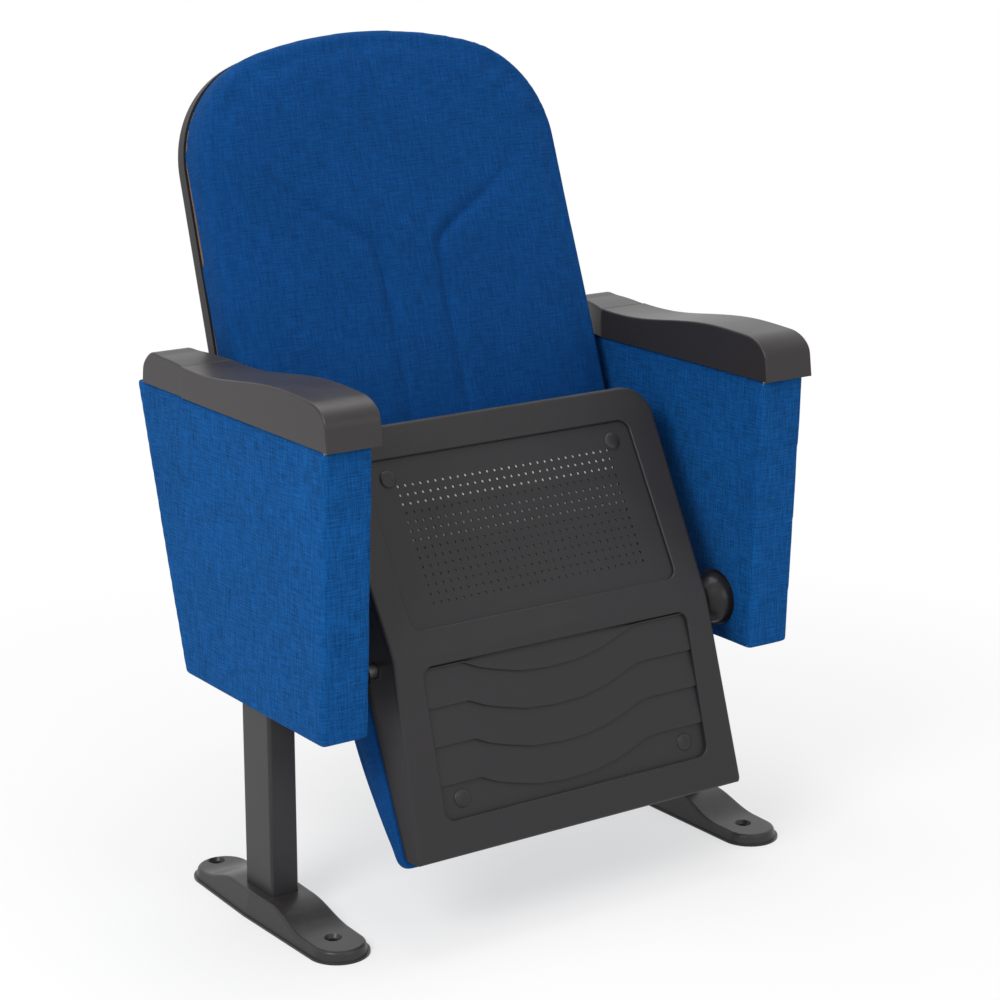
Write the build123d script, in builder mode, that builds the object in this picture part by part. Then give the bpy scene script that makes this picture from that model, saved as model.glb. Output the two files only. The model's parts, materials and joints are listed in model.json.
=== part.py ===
from build123d import *
from math import atan, cos, radians, sin, tan
import os

# Tip-up auditorium seat with two upholstered side panels, tipped up at rest.
# Millimetres. +Z is up, the seat faces -Y, and the origin is on the floor midway between the legs.
# Side pieces are drawn for the +X side and mirrored for the -X side ("right" is +X).

# ---------------------------------------------------------------- driving sizes
fit = 0.3                    # gap between pieces that are assembled side by side
edge_break = 1.0             # small broken edges on moulded and steel pieces

# standards
leg_spacing = 582.4          # centre to centre of the two legs
tube_x = 35.0                # leg tube across the seat
tube_y = 60.0                # leg tube fore and aft
tube_wall = 2.0
tube_corner = 4.0
foot_length = 326.0
foot_width = 78.0            # at the leg
foot_end_radius = 35.5       # round ends of the foot's plan
foot_shift = -14.5           # middle of the foot's length from the leg's centre
foot_wall = 3.0
foot_draft = 14.0            # slope of the foot's sides, degrees from vertical
foot_crest = 28.0            # height of the foot where the tube passes through
foot_pad_height = 13.0       # height of the foot at its two bolt pads
foot_crest_half = 42.0       # half length of the high middle of the foot
foot_edge_radius = 4.0
foot_lip = 2.0               # flange round the bottom edge of the foot
foot_lip_height = 2.5
bolt_spacing = 263.0         # floor bolt holes of one foot
bolt_hole_radius = 5.5
dimple_radius = 10.0
dimple_depth = 4.0
bolt_boss_radius = 10.0
base_plate_thickness = 6.0
base_plate_inset = 7.5       # base plate inside the foot's outline

# upholstered side panels
panel_thickness = 60.1
panel_inner_depth = 28.8     # inner face from the leg's centre
panel_top = 577.0            # underside of the armrest
panel_bottom = 248.6
panel_front_top = -184.4
panel_front_bottom = -167.8
panel_rear_top = 233.0
panel_rear_bottom = 136.3
panel_corner = 6.0
cover_thickness = 1.6        # fabric and its thin lining
cover_edge_radius = 3.5
rim_width = 20.0             # solid wood strips round the edge, between the boards
tube_slot_clearance = 1.0
panel_screw_radius = 3.0
panel_screw_head = 6.0
panel_screw_head_height = 3.2
panel_screw_edge = 12.0      # board screws from the front and rear of the leg tube
panel_screw_end = 60.0       # and from the top and bottom of the panel
panel_screw_tip = 2.0        # screws past the tube's wall

# armrests
arm_width = 67.9
arm_front = -194.5
arm_rear = 217.5
arm_joint = 120.0            # joint between the front moulding and the rear block
arm_block_inset = 2.5        # the rear block stands back from the front moulding
arm_wall = 3.0
arm_edge_radius = 2.5
arm_seam_radius = 1.0        # rounded edges on both sides of the joint
arm_face_height = 25.0       # the front face rises this far before it turns into the nose
arm_face_rake = 3.5
arm_nose_middle = (12.0, 39.5)   # a point of the nose, from the front and above the panel
arm_nose_run = 39.5          # where the nose ends, from the front
arm_nose_height = 49.0       # and its height above the panel
arm_crest_height = 50.5
arm_crest_y = -90.0
arm_slope_height = 41.5      # halfway down the wave
arm_slope_y = -2.0
arm_waist_height = 35.0      # lowest stretch of the wave
arm_waist_y = 56.0
arm_block_height = 37.4
arm_block_crest_y = 168.0
arm_rear_round = 21.5        # the round at the rear end starts this far from it
arm_rear_fall = 0.4
arm_rear_rake = 6.5
arm_rear_shoulder = 25.0
arm_rear_face = 6.0
arm_rear_taper = 22.5        # the rear block narrows on its inner side, beside the backrest
arm_plate_thickness = 4.0
arm_plate_front = 150.0      # reach of the arm plate ahead of the leg's centre
arm_plate_rear = 180.0
arm_plate_corner = 6.0
arm_boss_radius = 6.5
arm_screw_radius = 2.5
arm_screw_head_radius = 5.0
arm_screw_head_height = 3.0
arm_screw_bite = 14.0
arm_screw_places = (-125.0, 75.0, 165.0)

# seat pivot
pivot_depth = 26.1           # pivot axis below the top of the seat board, level with the pan's bend
pin_radius = 8.0
running_clearance = 0.05
pivot_plate_thickness = 6.0
pivot_eye_radius = 24.0
gusset_rise = 70.0           # the pivot plate's edge on the leg, above the pivot
gusset_shelf = 14.0          # width of its top
gusset_shoulder = 10.0       # where it meets the eye, ahead of the pivot
gusset_shoulder_drop = 2.0
pin_reach = 2.0              # pin past the pivot plate
pin_flange_radius = 15.0
pin_flange_thickness = 5.0
dome_radius = 31.0
dome_reach = 31.0            # how far the dome stands off the panel
dome_wall = 2.5
dome_flange = 2.5
dome_flange_thickness = 2.0
hinge_plate_thickness = 4.0
hinge_plate_radius = 33.0
hinge_tab_width = 42.0       # hinge plate's two tabs under the board
hinge_tab_start = 22.0       # tabs, measured along the seat from the pivot
hinge_tab_end = 58.0
hinge_screw_inset = 20.0     # tab screws from the edge of the tab
bush_wall = 3.0
bush_flange = 3.0
bush_flange_thickness = 1.5
cam_thickness = 7.0
cam_hub_radius = 14.5
cam_lobe_reach = 31.0
cam_lobe_width = 8.0
buffer_radius = 24.0         # distance of the rubber buffers from the pivot
buffer_width = 9.0
buffer_length = 10.0
spring_wire_radius = 1.25
spring_pitch = 3.6
spring_turns = 6
spring_leg = 48.0
clip_thickness = 1.5
clip_radius = 12.0
clip_groove = 1.0            # depth of the clip's groove in the pin
pin_tail = 3.0               # pin past its clip
tip_angle = 108.0            # travel of the seat from tipped up to down

# seat, drawn tipped up
seat_rear_y = -177.8         # rear end of the seam between pan and cushion
seat_rear_z = 103.8
seat_lean = 27.3             # lean of the seat board from vertical
pan_length = 471.0
pan_bend = 207.2             # bend of the underside, measured along the board
pan_bend_depth = 70.1
pan_front_depth = 55.3
pan_rear_depth = 25.2
pan_rear_overhang = 13.2
pan_side_gap = 36.9          # pan to each side panel
pan_waist_inset = 7.9        # the pan is narrower at the bend, beside the pivots
pan_wall = 3.0
pan_front_corner = 38.0
pan_rear_corner = 9.0
pan_edge_radius = 5.0
pan_patch_area = 2000.0      # faces of the underside are larger than this
pan_bend_radius = 40.0
pan_waist_radius = 100.0
recess_border = 43.0         # recesses from the pan's widest sides
recess_corner = 13.0
vent_low = 28.0              # vent recess, measured up from the bend
vent_border = 39.7           # and its top from the pan's front end
vent_recess = 4.0
vent_plate = 2.5
vent_pitch_x = 12.0
vent_pitch_y = 12.2
vent_hole_radius = 1.8
vent_field_low = 48.0
vent_field_top = 29.5        # perforated field from the top of the recess
vent_field_side = 35.3       # and from its sides
wave_border = 41.4           # louvre recess from the pan's rear end
wave_high = 13.0             # its top, measured down from the bend
wave_recess = 6.0
wave_step = 3.0              # depth of each louvre's step
wave_first = 15.5            # first louvre line below the bend
wave_pitch = 42.6
wave_groove = 2.5            # width of each step's cut
wave_dip = 25.5
wave_straight = 54.5         # straight stretch at each end of a louvre line
cap_radius = 10.4
cap_height = 2.4
cap_edge = 0.9
cap_inset = 27.5             # screw caps from the sides of the recesses
cap_inset_up = 22.5          # from the top of the vent recess
cap_inset_down = 21.5        # and from the bottom of the louvre recess
pan_boss_radius = 7.0
pan_screw_radius = 2.2
pan_screw_head = 4.6
pan_screw_head_height = 2.3
seat_board_thickness = 10.0
screw_bite = 7.0             # how far wood screws reach into a board
seat_cushion_end = 14.0      # height of the cushion's side at its rear end
seat_cushion_full = 58.0     # where it is thickest
seat_cushion_front = 40.0
seat_cushion_proud = 4.0     # cushion past the sides of the pan
seat_cushion_overhang = 12.0 # cushion past the rear end of the seam
seat_crown = 9.0
seat_edge_radius = 7.0

# backrest
back_lean = 19.04            # lean of the backrest from vertical
back_y = 181.2               # back of the cushion at back_z
back_z = 621.6
back_top = 337.0             # along the backrest from back_z
back_bottom = 252.0
back_side_gap = 7.4          # backrest to each side panel
back_taper = 10.0            # narrower where the top corners start
back_corner = 134.0
back_shoulder_height = 189.0
back_bottom_corner = 30.0
back_edge_depth = 48.0       # cushion thickness at its sides
back_crown = 4.0
back_edge_radius = 12.0
channel_width = 5.0
channel_depth = 3.0
shell_depth = 20.5
shell_wall = 3.0
shell_edge_radius = 8.0
back_board_thickness = 10.0
bracket_thickness = 5.0
bracket_low = -150.0         # bracket arm, along the backrest from back_z
bracket_high = -90.0
bracket_reach = 70.0         # arm inside the shell
bracket_root_low = 170.0     # bracket's edge on the leg, above the bottom of the panel
bracket_root_high = 285.0
bracket_bolt_edge = 15.0     # its bolts from the edges of the arm
back_bolt_radius = 4.0
back_bolt_head_radius = 7.0
back_bolt_head_height = 2.2
back_bolt_bite = 8.0
shell_screw_radius = 2.2
shell_screw_head = 4.5
shell_screw_head_height = 2.4
shell_boss_radius = 7.0
shell_screw_inset = 65.0     # shell screws from the sides
shell_screw_low = -215.0
shell_screw_high = 210.0

# ---------------------------------------------------------------- places worked out from them
leg_x = leg_spacing / 2
panel_inner_x = leg_x - panel_inner_depth
board_thickness = panel_inner_depth - tube_x / 2 - cover_thickness - fit
outer_board_thickness = panel_thickness - panel_inner_depth - tube_x / 2 - cover_thickness - fit
pan_half_width = panel_inner_x - pan_side_gap
pan_waist = pan_half_width - pan_waist_inset               # half width at the bend
recess_half_width = pan_half_width - recess_border
vent_field_half_width = recess_half_width - vent_field_side
wave_kink = recess_half_width - wave_straight
cap_x = recess_half_width - cap_inset
back_half_width = panel_inner_x - back_side_gap
back_shoulder = back_half_width - back_taper
shell_screw_x = back_half_width - shell_screw_inset
board_gap = tube_x + 2 * fit
arm_plate_width = board_gap - 2 * fit
arm_plate_bottom = panel_top - arm_plate_thickness
hinge_x = pan_waist - pan_wall - fit                       # outer face of the hinge plate
hinge_inner_x = hinge_x - hinge_plate_thickness
cam_x = hinge_inner_x - bush_flange_thickness - fit        # outer face of the stop cam
spring_radius = pivot_depth - seat_board_thickness - hinge_plate_thickness - spring_wire_radius - fit
spring_length = spring_turns * spring_pitch
spring_outer_x = cam_x - cam_thickness - spring_wire_radius - fit
clip_x = spring_outer_x - spring_length - spring_wire_radius - fit

seat_along = (sin(radians(seat_lean)), cos(radians(seat_lean)))
seat_below = (-seat_along[1], seat_along[0])
back_along = (sin(radians(back_lean)), cos(radians(back_lean)))
back_behind = (back_along[1], -back_along[0])


def seat_point(along, below):
    """Y and Z of a point given along the seat board and below its upholstered face."""
    return (
        seat_rear_y + along * seat_along[0] + below * seat_below[0],
        seat_rear_z + along * seat_along[1] + below * seat_below[1],
    )


def back_point(along, behind):
    """Y and Z of a point given along the backrest and behind its cushion."""
    return (
        back_y + along * back_along[0] + behind * back_behind[0],
        back_z + along * back_along[1] + behind * back_behind[1],
    )


seat_plane = Plane(
    origin=(0, seat_rear_y, seat_rear_z), x_dir=(1, 0, 0), z_dir=(0, seat_below[0], seat_below[1])
)
back_plane = Plane(
    origin=(0, back_y, back_z), x_dir=(1, 0, 0), z_dir=(0, -back_behind[0], -back_behind[1])
)

pivot_y, pivot_z = seat_point(pan_bend, pivot_depth)
bend = seat_point(pan_bend, pan_bend_depth)
front_slope = atan((pan_bend_depth - pan_front_depth) / (pan_length - pan_bend))
rear_slope = atan((pan_bend_depth - pan_rear_depth) / (pan_bend + pan_rear_overhang))
front_length = (pan_length - pan_bend) / cos(front_slope)
rear_length = (pan_bend + pan_rear_overhang) / cos(rear_slope)
vent_high = front_length - vent_border
vent_field_high = vent_high - vent_field_top
wave_low = rear_length - wave_border
cap_up = vent_high - cap_inset_up
cap_down = wave_low - cap_inset_down
front_lean = radians(seat_lean) + front_slope
rear_lean = radians(seat_lean) - rear_slope
front_face = Plane(
    origin=(0, bend[0], bend[1]), x_dir=(1, 0, 0), z_dir=(0, -cos(front_lean), sin(front_lean))
)
rear_face = Plane(
    origin=(0, bend[0], bend[1]), x_dir=(1, 0, 0), z_dir=(0, -cos(rear_lean), sin(rear_lean))
)

os.makedirs("parts", exist_ok=True)


def save(name, part):
    """Label one finished piece and write its STEP file."""
    part.label = name
    export_step(part, "parts/" + name + ".step")


def save_pair(name, right_part):
    """Write a side piece and its mirror image for the other side."""
    save("right_" + name, right_part)
    with BuildPart() as left:
        mirror(right_part, about=Plane.YZ)
    save("left_" + name, left.part)


def pivot_side(x):
    """Sketch plane square to the pivot axis at x, centred on the axis, facing the seat."""
    return Plane(origin=(x, pivot_y, pivot_z), x_dir=(0, 1, 0), z_dir=(-1, 0, 0))


# ---------------------------------------------------------------- feet and legs
tube_half = tube_y / 2
foot_front = foot_shift - foot_length / 2
foot_rear = foot_shift + foot_length / 2
pad_inner = bolt_spacing / 2 - dimple_radius - foot_edge_radius


def foot_plan(plane, inset):
    """Boat-shaped plan of the foot, widest at the leg, drawn in by the inset."""
    with BuildSketch(plane) as plan:
        with BuildLine():
            CenterArc((0, foot_front + foot_end_radius), foot_end_radius - inset, 90, 360)
            CenterArc((0, 0), foot_width / 2 - inset, 90, 360)
            CenterArc((0, foot_rear - foot_end_radius), foot_end_radius - inset, 270, 360)
        make_hull()
    return plan.sketch


def foot_block(inset, drop, plane):
    """Drafted block on the foot's plan, cut to the foot's side profile."""
    rise = foot_crest + 1
    low_plan = foot_plan(plane, inset)
    high_plan = foot_plan(plane.offset(rise), inset + rise * tan(radians(foot_draft)))
    with BuildPart() as block:
        loft([low_plan.face(), high_plan.face()], ruled=True)
        with BuildSketch(Plane.YZ.offset(leg_x)):
            with BuildLine():
                Polyline((foot_front, 0), (foot_rear, 0), (foot_rear, foot_pad_height - drop))
                Line((foot_rear, foot_pad_height - drop), (pad_inner, foot_pad_height - drop))
                Spline(
                    (pad_inner, foot_pad_height - drop),
                    (foot_crest_half, foot_crest - drop),
                    tangents=((-1, 0), (-1, 0)),
                )
                Line((foot_crest_half, foot_crest - drop), (-foot_crest_half, foot_crest - drop))
                Spline(
                    (-foot_crest_half, foot_crest - drop),
                    (-pad_inner, foot_pad_height - drop),
                    tangents=((-1, 0), (-1, 0)),
                )
                Polyline(
                    (-pad_inner, foot_pad_height - drop), (foot_front, foot_pad_height - drop), (foot_front, 0)
                )
            make_face()
        extrude(amount=foot_width, both=True, mode=Mode.INTERSECT)
    return block.part


floor_plane = Plane(origin=(leg_x, 0, 0))
lip_plan = foot_plan(floor_plane, 0)
base_plate_plan = foot_plan(floor_plane, base_plate_inset)

with BuildPart() as foot_cover:
    add(foot_block(foot_lip, 0, floor_plane))
    fillet(foot_cover.faces().filter_by(Axis.Z, reverse=True).edges().group_by(Axis.Z)[-1], foot_edge_radius)
    extrude(lip_plan, amount=foot_lip_height)
    add(foot_block(foot_lip + foot_wall, foot_wall, floor_plane), mode=Mode.SUBTRACT)
    with BuildSketch(Plane(origin=(leg_x, 0, base_plate_thickness))):
        with Locations((0, bolt_spacing / 2), (0, -bolt_spacing / 2)):
            Circle(bolt_boss_radius)
    extrude(amount=foot_pad_height - base_plate_thickness - foot_wall / 2)
    with BuildSketch(Plane(origin=(leg_x, 0, foot_pad_height))):
        with Locations((0, bolt_spacing / 2), (0, -bolt_spacing / 2)):
            Circle(dimple_radius)
    extrude(amount=-dimple_depth, taper=35, mode=Mode.SUBTRACT)
    with BuildSketch(floor_plane):
        with Locations((0, bolt_spacing / 2), (0, -bolt_spacing / 2)):
            Circle(bolt_hole_radius)
        RectangleRounded(tube_x + 2 * fit, tube_y + 2 * fit, tube_corner + fit)
    extrude(amount=foot_crest + 1, mode=Mode.SUBTRACT)
save_pair("foot_cover", foot_cover.part)

with BuildPart() as base_plate:
    extrude(base_plate_plan, amount=base_plate_thickness)
    with BuildSketch(floor_plane):
        with Locations((0, bolt_spacing / 2), (0, -bolt_spacing / 2)):
            Circle(bolt_hole_radius)
    extrude(amount=base_plate_thickness, mode=Mode.SUBTRACT)
save_pair("base_plate", base_plate.part)

screw_rows = (tube_half - panel_screw_edge, -(tube_half - panel_screw_edge))
screw_heights = (panel_bottom + panel_screw_end, panel_top - panel_screw_end)


def panel_screw_plane(x):
    """Sketch plane for the board screws, facing away from the seat, centred on the leg."""
    return Plane(origin=(x, 0, 0), x_dir=(0, 1, 0), z_dir=(1, 0, 0))


panel_screw_points = [(y, z) for y in screw_rows for z in screw_heights]

with BuildPart() as leg_tube:
    with BuildSketch(Plane(origin=(leg_x, 0, base_plate_thickness))):
        RectangleRounded(tube_x, tube_y, tube_corner)
        RectangleRounded(
            tube_x - 2 * tube_wall, tube_y - 2 * tube_wall, tube_corner - tube_wall, mode=Mode.SUBTRACT
        )
    extrude(amount=arm_plate_bottom - base_plate_thickness)
    with BuildSketch(panel_screw_plane(leg_x)):
        with Locations(*panel_screw_points):
            Circle(panel_screw_radius + running_clearance)
    extrude(amount=tube_x, both=True, mode=Mode.SUBTRACT)
save_pair("leg_tube", leg_tube.part)

arm_screw_points = [(0, y) for y in arm_screw_places]

with BuildPart() as arm_plate:
    with BuildSketch(Plane(origin=(leg_x, 0, arm_plate_bottom))):
        with Locations((0, (arm_plate_rear - arm_plate_front) / 2)):
            RectangleRounded(arm_plate_width, arm_plate_front + arm_plate_rear, arm_plate_corner)
        with Locations(*arm_screw_points):
            Circle(arm_screw_radius + running_clearance, mode=Mode.SUBTRACT)
    extrude(amount=arm_plate_thickness)
save_pair("arm_plate", arm_plate.part)

# ---------------------------------------------------------------- pivot on the standard
gusset_top = pivot_z + gusset_rise
gusset_bottom = pivot_z - pivot_eye_radius

with BuildPart() as pivot_plate:
    with BuildSketch(Plane.YZ.offset(leg_x - pivot_plate_thickness / 2)):
        with BuildLine():
            Polyline(
                (-tube_half, gusset_bottom),
                (-tube_half, gusset_top),
                (-tube_half - gusset_shelf, gusset_top),
                (pivot_y - gusset_shoulder, pivot_z + pivot_eye_radius - gusset_shoulder_drop),
                (pivot_y, pivot_z - pivot_eye_radius),
                (-tube_half, gusset_bottom),
            )
        make_face()
        with Locations((pivot_y, pivot_z)):
            Circle(pivot_eye_radius)
            Circle(pin_radius + running_clearance, mode=Mode.SUBTRACT)
    extrude(amount=pivot_plate_thickness)
save_pair("pivot_plate", pivot_plate.part)

pin_outer_x = leg_x + pivot_plate_thickness / 2 + pin_reach
pin_inner_x = clip_x - clip_thickness - pin_tail
flange_x = leg_x - pivot_plate_thickness / 2

with BuildPart() as pivot_pin:
    with BuildSketch(pivot_side(pin_outer_x)):
        Circle(pin_radius)
    extrude(amount=pin_outer_x - pin_inner_x)
    with BuildSketch(pivot_side(flange_x)):
        Circle(pin_flange_radius)
    extrude(amount=pin_flange_thickness)
    with BuildSketch(pivot_side(clip_x)):
        Circle(pin_radius + 1)
        Circle(pin_radius - clip_groove, mode=Mode.SUBTRACT)
    extrude(amount=clip_thickness, mode=Mode.SUBTRACT)
    chamfer(pivot_pin.faces().sort_by(Axis.X)[0].edges(), edge_break)
save_pair("pivot_pin", pivot_pin.part)

with BuildPart() as pin_clip:
    with BuildSketch(pivot_side(clip_x)):
        Circle(clip_radius)
        Circle(pin_radius - clip_groove + running_clearance, mode=Mode.SUBTRACT)
        with Locations((0, clip_radius / 2)):
            Rectangle(2 * (pin_radius - clip_groove) - 1, clip_radius, mode=Mode.SUBTRACT)
    extrude(amount=clip_thickness)
save_pair("pin_clip", pin_clip.part)

dome_base_x = panel_inner_x
dome_rim = pin_radius + 2

with BuildPart() as pivot_dome:
    with BuildSketch(Plane(origin=(dome_base_x, pivot_y, pivot_z), x_dir=(-1, 0, 0), z_dir=(0, 1, 0))):
        with BuildLine():
            Line((0, 0), (0, dome_radius + dome_flange))
            Line((0, dome_radius + dome_flange), (dome_flange_thickness, dome_radius + dome_flange))
            Line((dome_flange_thickness, dome_radius + dome_flange), (dome_flange_thickness, dome_radius))
            Spline(
                (dome_flange_thickness, dome_radius), (dome_reach * 0.72, dome_radius * 0.74),
                (dome_reach, dome_rim), tangents=((1, 0), (0, -1)),
            )
            Line((dome_reach, dome_rim), (dome_reach, 0))
            Line((dome_reach, 0), (0, 0))
        make_face()
    revolve(axis=Axis((dome_base_x, pivot_y, pivot_z), (1, 0, 0)))
    with BuildSketch(Plane(origin=(dome_base_x, pivot_y, pivot_z), x_dir=(-1, 0, 0), z_dir=(0, 1, 0))):
        with BuildLine():
            Line((-1, 0), (-1, dome_radius - dome_wall))
            Line((-1, dome_radius - dome_wall), (dome_flange_thickness, dome_radius - dome_wall))
            Spline(
                (dome_flange_thickness, dome_radius - dome_wall),
                (dome_reach * 0.68, dome_radius * 0.68),
                (dome_reach - dome_wall, dome_rim), tangents=((1, 0), (0, -1)),
            )
            Line((dome_reach - dome_wall, dome_rim), (dome_reach - dome_wall, 0))
            Line((dome_reach - dome_wall, 0), (-1, 0))
        make_face()
    revolve(axis=Axis((dome_base_x, pivot_y, pivot_z), (1, 0, 0)), mode=Mode.SUBTRACT)
    with BuildSketch(pivot_side(dome_base_x)):
        Circle(pin_radius + fit)
    extrude(amount=dome_reach + 1, mode=Mode.SUBTRACT)
save_pair("pivot_dome", pivot_dome.part)

# the lobe of the fixed cam stands in the middle of the buffers' travel
lobe_angle = 180 - seat_lean + tip_angle / 2
buffer_offset = (cam_lobe_width + buffer_width) / 2 + fit


def turned(radial, tangential, angle):
    """Y and Z from the pivot axis of a point given along and square to a direction."""
    turn = radians(angle)
    return (
        radial * cos(turn) - tangential * sin(turn),
        radial * sin(turn) + tangential * cos(turn),
    )


def axis_sketch_plane(x):
    """Sketch plane at x whose local X and Y run along Y and Z from the pivot axis."""
    return Plane(origin=(x, pivot_y, pivot_z), x_dir=(0, 1, 0), z_dir=(1, 0, 0))


spring_start = (-spring_radius * seat_below[0], -spring_radius * seat_below[1])

with BuildPart() as stop_cam:
    with BuildSketch(axis_sketch_plane(cam_x)):
        Circle(cam_hub_radius)
        with Locations(turned(cam_lobe_reach / 2, 0, lobe_angle)):
            Rectangle(cam_lobe_reach, cam_lobe_width, rotation=lobe_angle)
        Circle(pin_radius + running_clearance, mode=Mode.SUBTRACT)
        with Locations(spring_start):
            Circle(spring_wire_radius + running_clearance, mode=Mode.SUBTRACT)
    extrude(amount=-cam_thickness)
save_pair("stop_cam", stop_cam.part)

# ---------------------------------------------------------------- upholstered side panels


def panel_sketch(x, inset, top):
    """Side outline of a panel at x, drawn in by the inset, with its top edge at the height given."""
    height = panel_top - panel_bottom
    front_run = (panel_front_top - panel_front_bottom) / height
    rear_run = (panel_rear_top - panel_rear_bottom) / height
    rise = top + inset - panel_bottom
    with BuildSketch(Plane.YZ.offset(x)) as outline:
        Polygon(
            (panel_front_bottom, panel_bottom),
            (panel_rear_bottom, panel_bottom),
            (panel_rear_bottom + rear_run * rise, panel_bottom + rise),
            (panel_front_bottom + front_run * rise, panel_bottom + rise),
            align=None,
        )
        if inset > 0:
            offset(amount=-inset, kind=Kind.INTERSECTION)
    return outline.sketch


def bracket_section(x, gap):
    """Section of the bracket arm at x, square to it, grown by the gap."""
    near = back_board_thickness - gap
    far = back_board_thickness + bracket_thickness + gap
    with BuildSketch(Plane.YZ.offset(x)) as section:
        Polygon(
            back_point(bracket_low - gap, near),
            back_point(bracket_high + gap, near),
            back_point(bracket_high + gap, far),
            back_point(bracket_low - gap, far),
            align=None,
        )
    return section.sketch


pivot_hole_radius = pin_flange_radius + 2
bracket_gap = 1.0
inner_board_x = panel_inner_x + cover_thickness
core_x = inner_board_x + board_thickness
outer_board_x = core_x + board_gap
board_inset = cover_thickness + fit
board_edge_radius = cover_edge_radius - cover_thickness
board_top = panel_top - cover_thickness - fit
tube_slot_y = tube_y + 2 * tube_slot_clearance
tube_slot_x = tube_x + 2 * tube_slot_clearance


def panel_edges(part, radius):
    """Round the upright and bottom edges of a panel piece, but not its top."""
    side = part.edges().filter_by(Axis.X, reverse=True).filter_by(lambda e: e.center().Z < panel_top - 10)
    fillet(side, radius)


with BuildPart() as panel_hollow:
    extrude(
        panel_sketch(inner_board_x, cover_thickness, panel_top - cover_thickness),
        amount=panel_thickness - 2 * cover_thickness,
    )
    fillet(panel_hollow.edges().filter_by(Axis.X).group_by(Axis.Z)[0], panel_corner - cover_thickness)
    panel_edges(panel_hollow, board_edge_radius)

with BuildPart() as panel_cover:
    extrude(panel_sketch(panel_inner_x, 0, panel_top), amount=panel_thickness)
    fillet(panel_cover.edges().filter_by(Axis.X).group_by(Axis.Z)[0], panel_corner)
    panel_edges(panel_cover, cover_edge_radius)
    add(panel_hollow.part, mode=Mode.SUBTRACT)
    with BuildSketch(Plane(origin=(leg_x, 0, panel_bottom - 1))):
        Rectangle(tube_slot_x, tube_slot_y)
    extrude(amount=cover_thickness + 5, mode=Mode.SUBTRACT)
    with BuildSketch(Plane(origin=(leg_x, (arm_plate_rear - arm_plate_front) / 2, panel_top + 1))):
        Rectangle(board_gap, arm_plate_front + arm_plate_rear + 2 * fit)
    extrude(amount=-cover_thickness - 2, mode=Mode.SUBTRACT)
    with BuildSketch(axis_sketch_plane(panel_inner_x - 1)):
        Circle(pivot_hole_radius)
    extrude(amount=cover_thickness + 2, mode=Mode.SUBTRACT)
    extrude(
        bracket_section(panel_inner_x - 1, bracket_gap), amount=cover_thickness + 2, mode=Mode.SUBTRACT
    )
save_pair("panel_cover", panel_cover.part)

with BuildPart() as inner_board:
    extrude(panel_sketch(inner_board_x, board_inset, board_top), amount=board_thickness)
    fillet(inner_board.edges().filter_by(Axis.X).group_by(Axis.Z)[0], panel_corner - cover_thickness)
    chamfer(
        inner_board.faces().sort_by(Axis.X)[0].edges().filter_by(lambda e: e.center().Z < board_top - 1),
        board_edge_radius,
    )
    with BuildSketch(axis_sketch_plane(inner_board_x - 1)):
        Circle(pivot_hole_radius)
    extrude(amount=board_thickness + 2, mode=Mode.SUBTRACT)
    extrude(
        bracket_section(inner_board_x - 1, bracket_gap), amount=board_thickness + 2, mode=Mode.SUBTRACT
    )
    with BuildSketch(panel_screw_plane(inner_board_x)):
        with Locations(*panel_screw_points):
            Circle(panel_screw_head + running_clearance)
    extrude(amount=panel_screw_head_height + running_clearance, taper=43, mode=Mode.SUBTRACT)
    with BuildSketch(panel_screw_plane(inner_board_x)):
        with Locations(*panel_screw_points):
            Circle(panel_screw_radius + running_clearance)
    extrude(amount=board_thickness, mode=Mode.SUBTRACT)
save_pair("inner_board", inner_board.part)


with BuildPart() as outer_board:
    extrude(panel_sketch(outer_board_x, board_inset, board_top), amount=outer_board_thickness)
    fillet(outer_board.edges().filter_by(Axis.X).group_by(Axis.Z)[0], panel_corner - cover_thickness)
    chamfer(
        outer_board.faces().sort_by(Axis.X)[-1].edges().filter_by(lambda e: e.center().Z < board_top - 1),
        board_edge_radius,
    )
    with BuildSketch(panel_screw_plane(outer_board_x + outer_board_thickness)):
        with Locations(*panel_screw_points):
            Circle(panel_screw_head + running_clearance)
    extrude(amount=-panel_screw_head_height - running_clearance, taper=43, mode=Mode.SUBTRACT)
    with BuildSketch(panel_screw_plane(outer_board_x)):
        with Locations(*panel_screw_points):
            Circle(panel_screw_radius + running_clearance)
    extrude(amount=outer_board_thickness, mode=Mode.SUBTRACT)
save_pair("outer_board", outer_board.part)

with BuildPart() as panel_rim:
    extrude(panel_sketch(core_x, board_inset, arm_plate_bottom - fit), amount=board_gap)
    fillet(panel_rim.edges().filter_by(Axis.X).group_by(Axis.Z)[0], panel_corner - cover_thickness)
    extrude(panel_sketch(core_x, board_inset + rim_width, panel_top + 5), amount=board_gap, mode=Mode.SUBTRACT)
    with BuildSketch(Plane(origin=(leg_x, 0, panel_bottom - 1))):
        Rectangle(board_gap + 1, tube_slot_y)
    extrude(amount=rim_width + 5, mode=Mode.SUBTRACT)
save_pair("panel_rim", panel_rim.part)

board_screws = (
    (inner_board_x, 1, board_thickness),
    (outer_board_x + outer_board_thickness, -1, outer_board_thickness),
)

with BuildPart() as panel_screws:
    for x, way, board in board_screws:
        with BuildSketch(panel_screw_plane(x)):
            with Locations(*panel_screw_points):
                Circle(panel_screw_head)
        extrude(amount=way * panel_screw_head_height, taper=43)
        with BuildSketch(panel_screw_plane(x)):
            with Locations(*panel_screw_points):
                Circle(panel_screw_radius)
        extrude(amount=way * (board + tube_wall + panel_screw_tip))
    mirror(panel_screws.part, about=Plane.YZ)
save("panel_screws", panel_screws.part)

# ---------------------------------------------------------------- armrests
nose_top = panel_top + arm_nose_height
crest_top = panel_top + arm_crest_height
slope_top = panel_top + arm_slope_height
waist_top = panel_top + arm_waist_height
block_top = panel_top + arm_block_height


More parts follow.
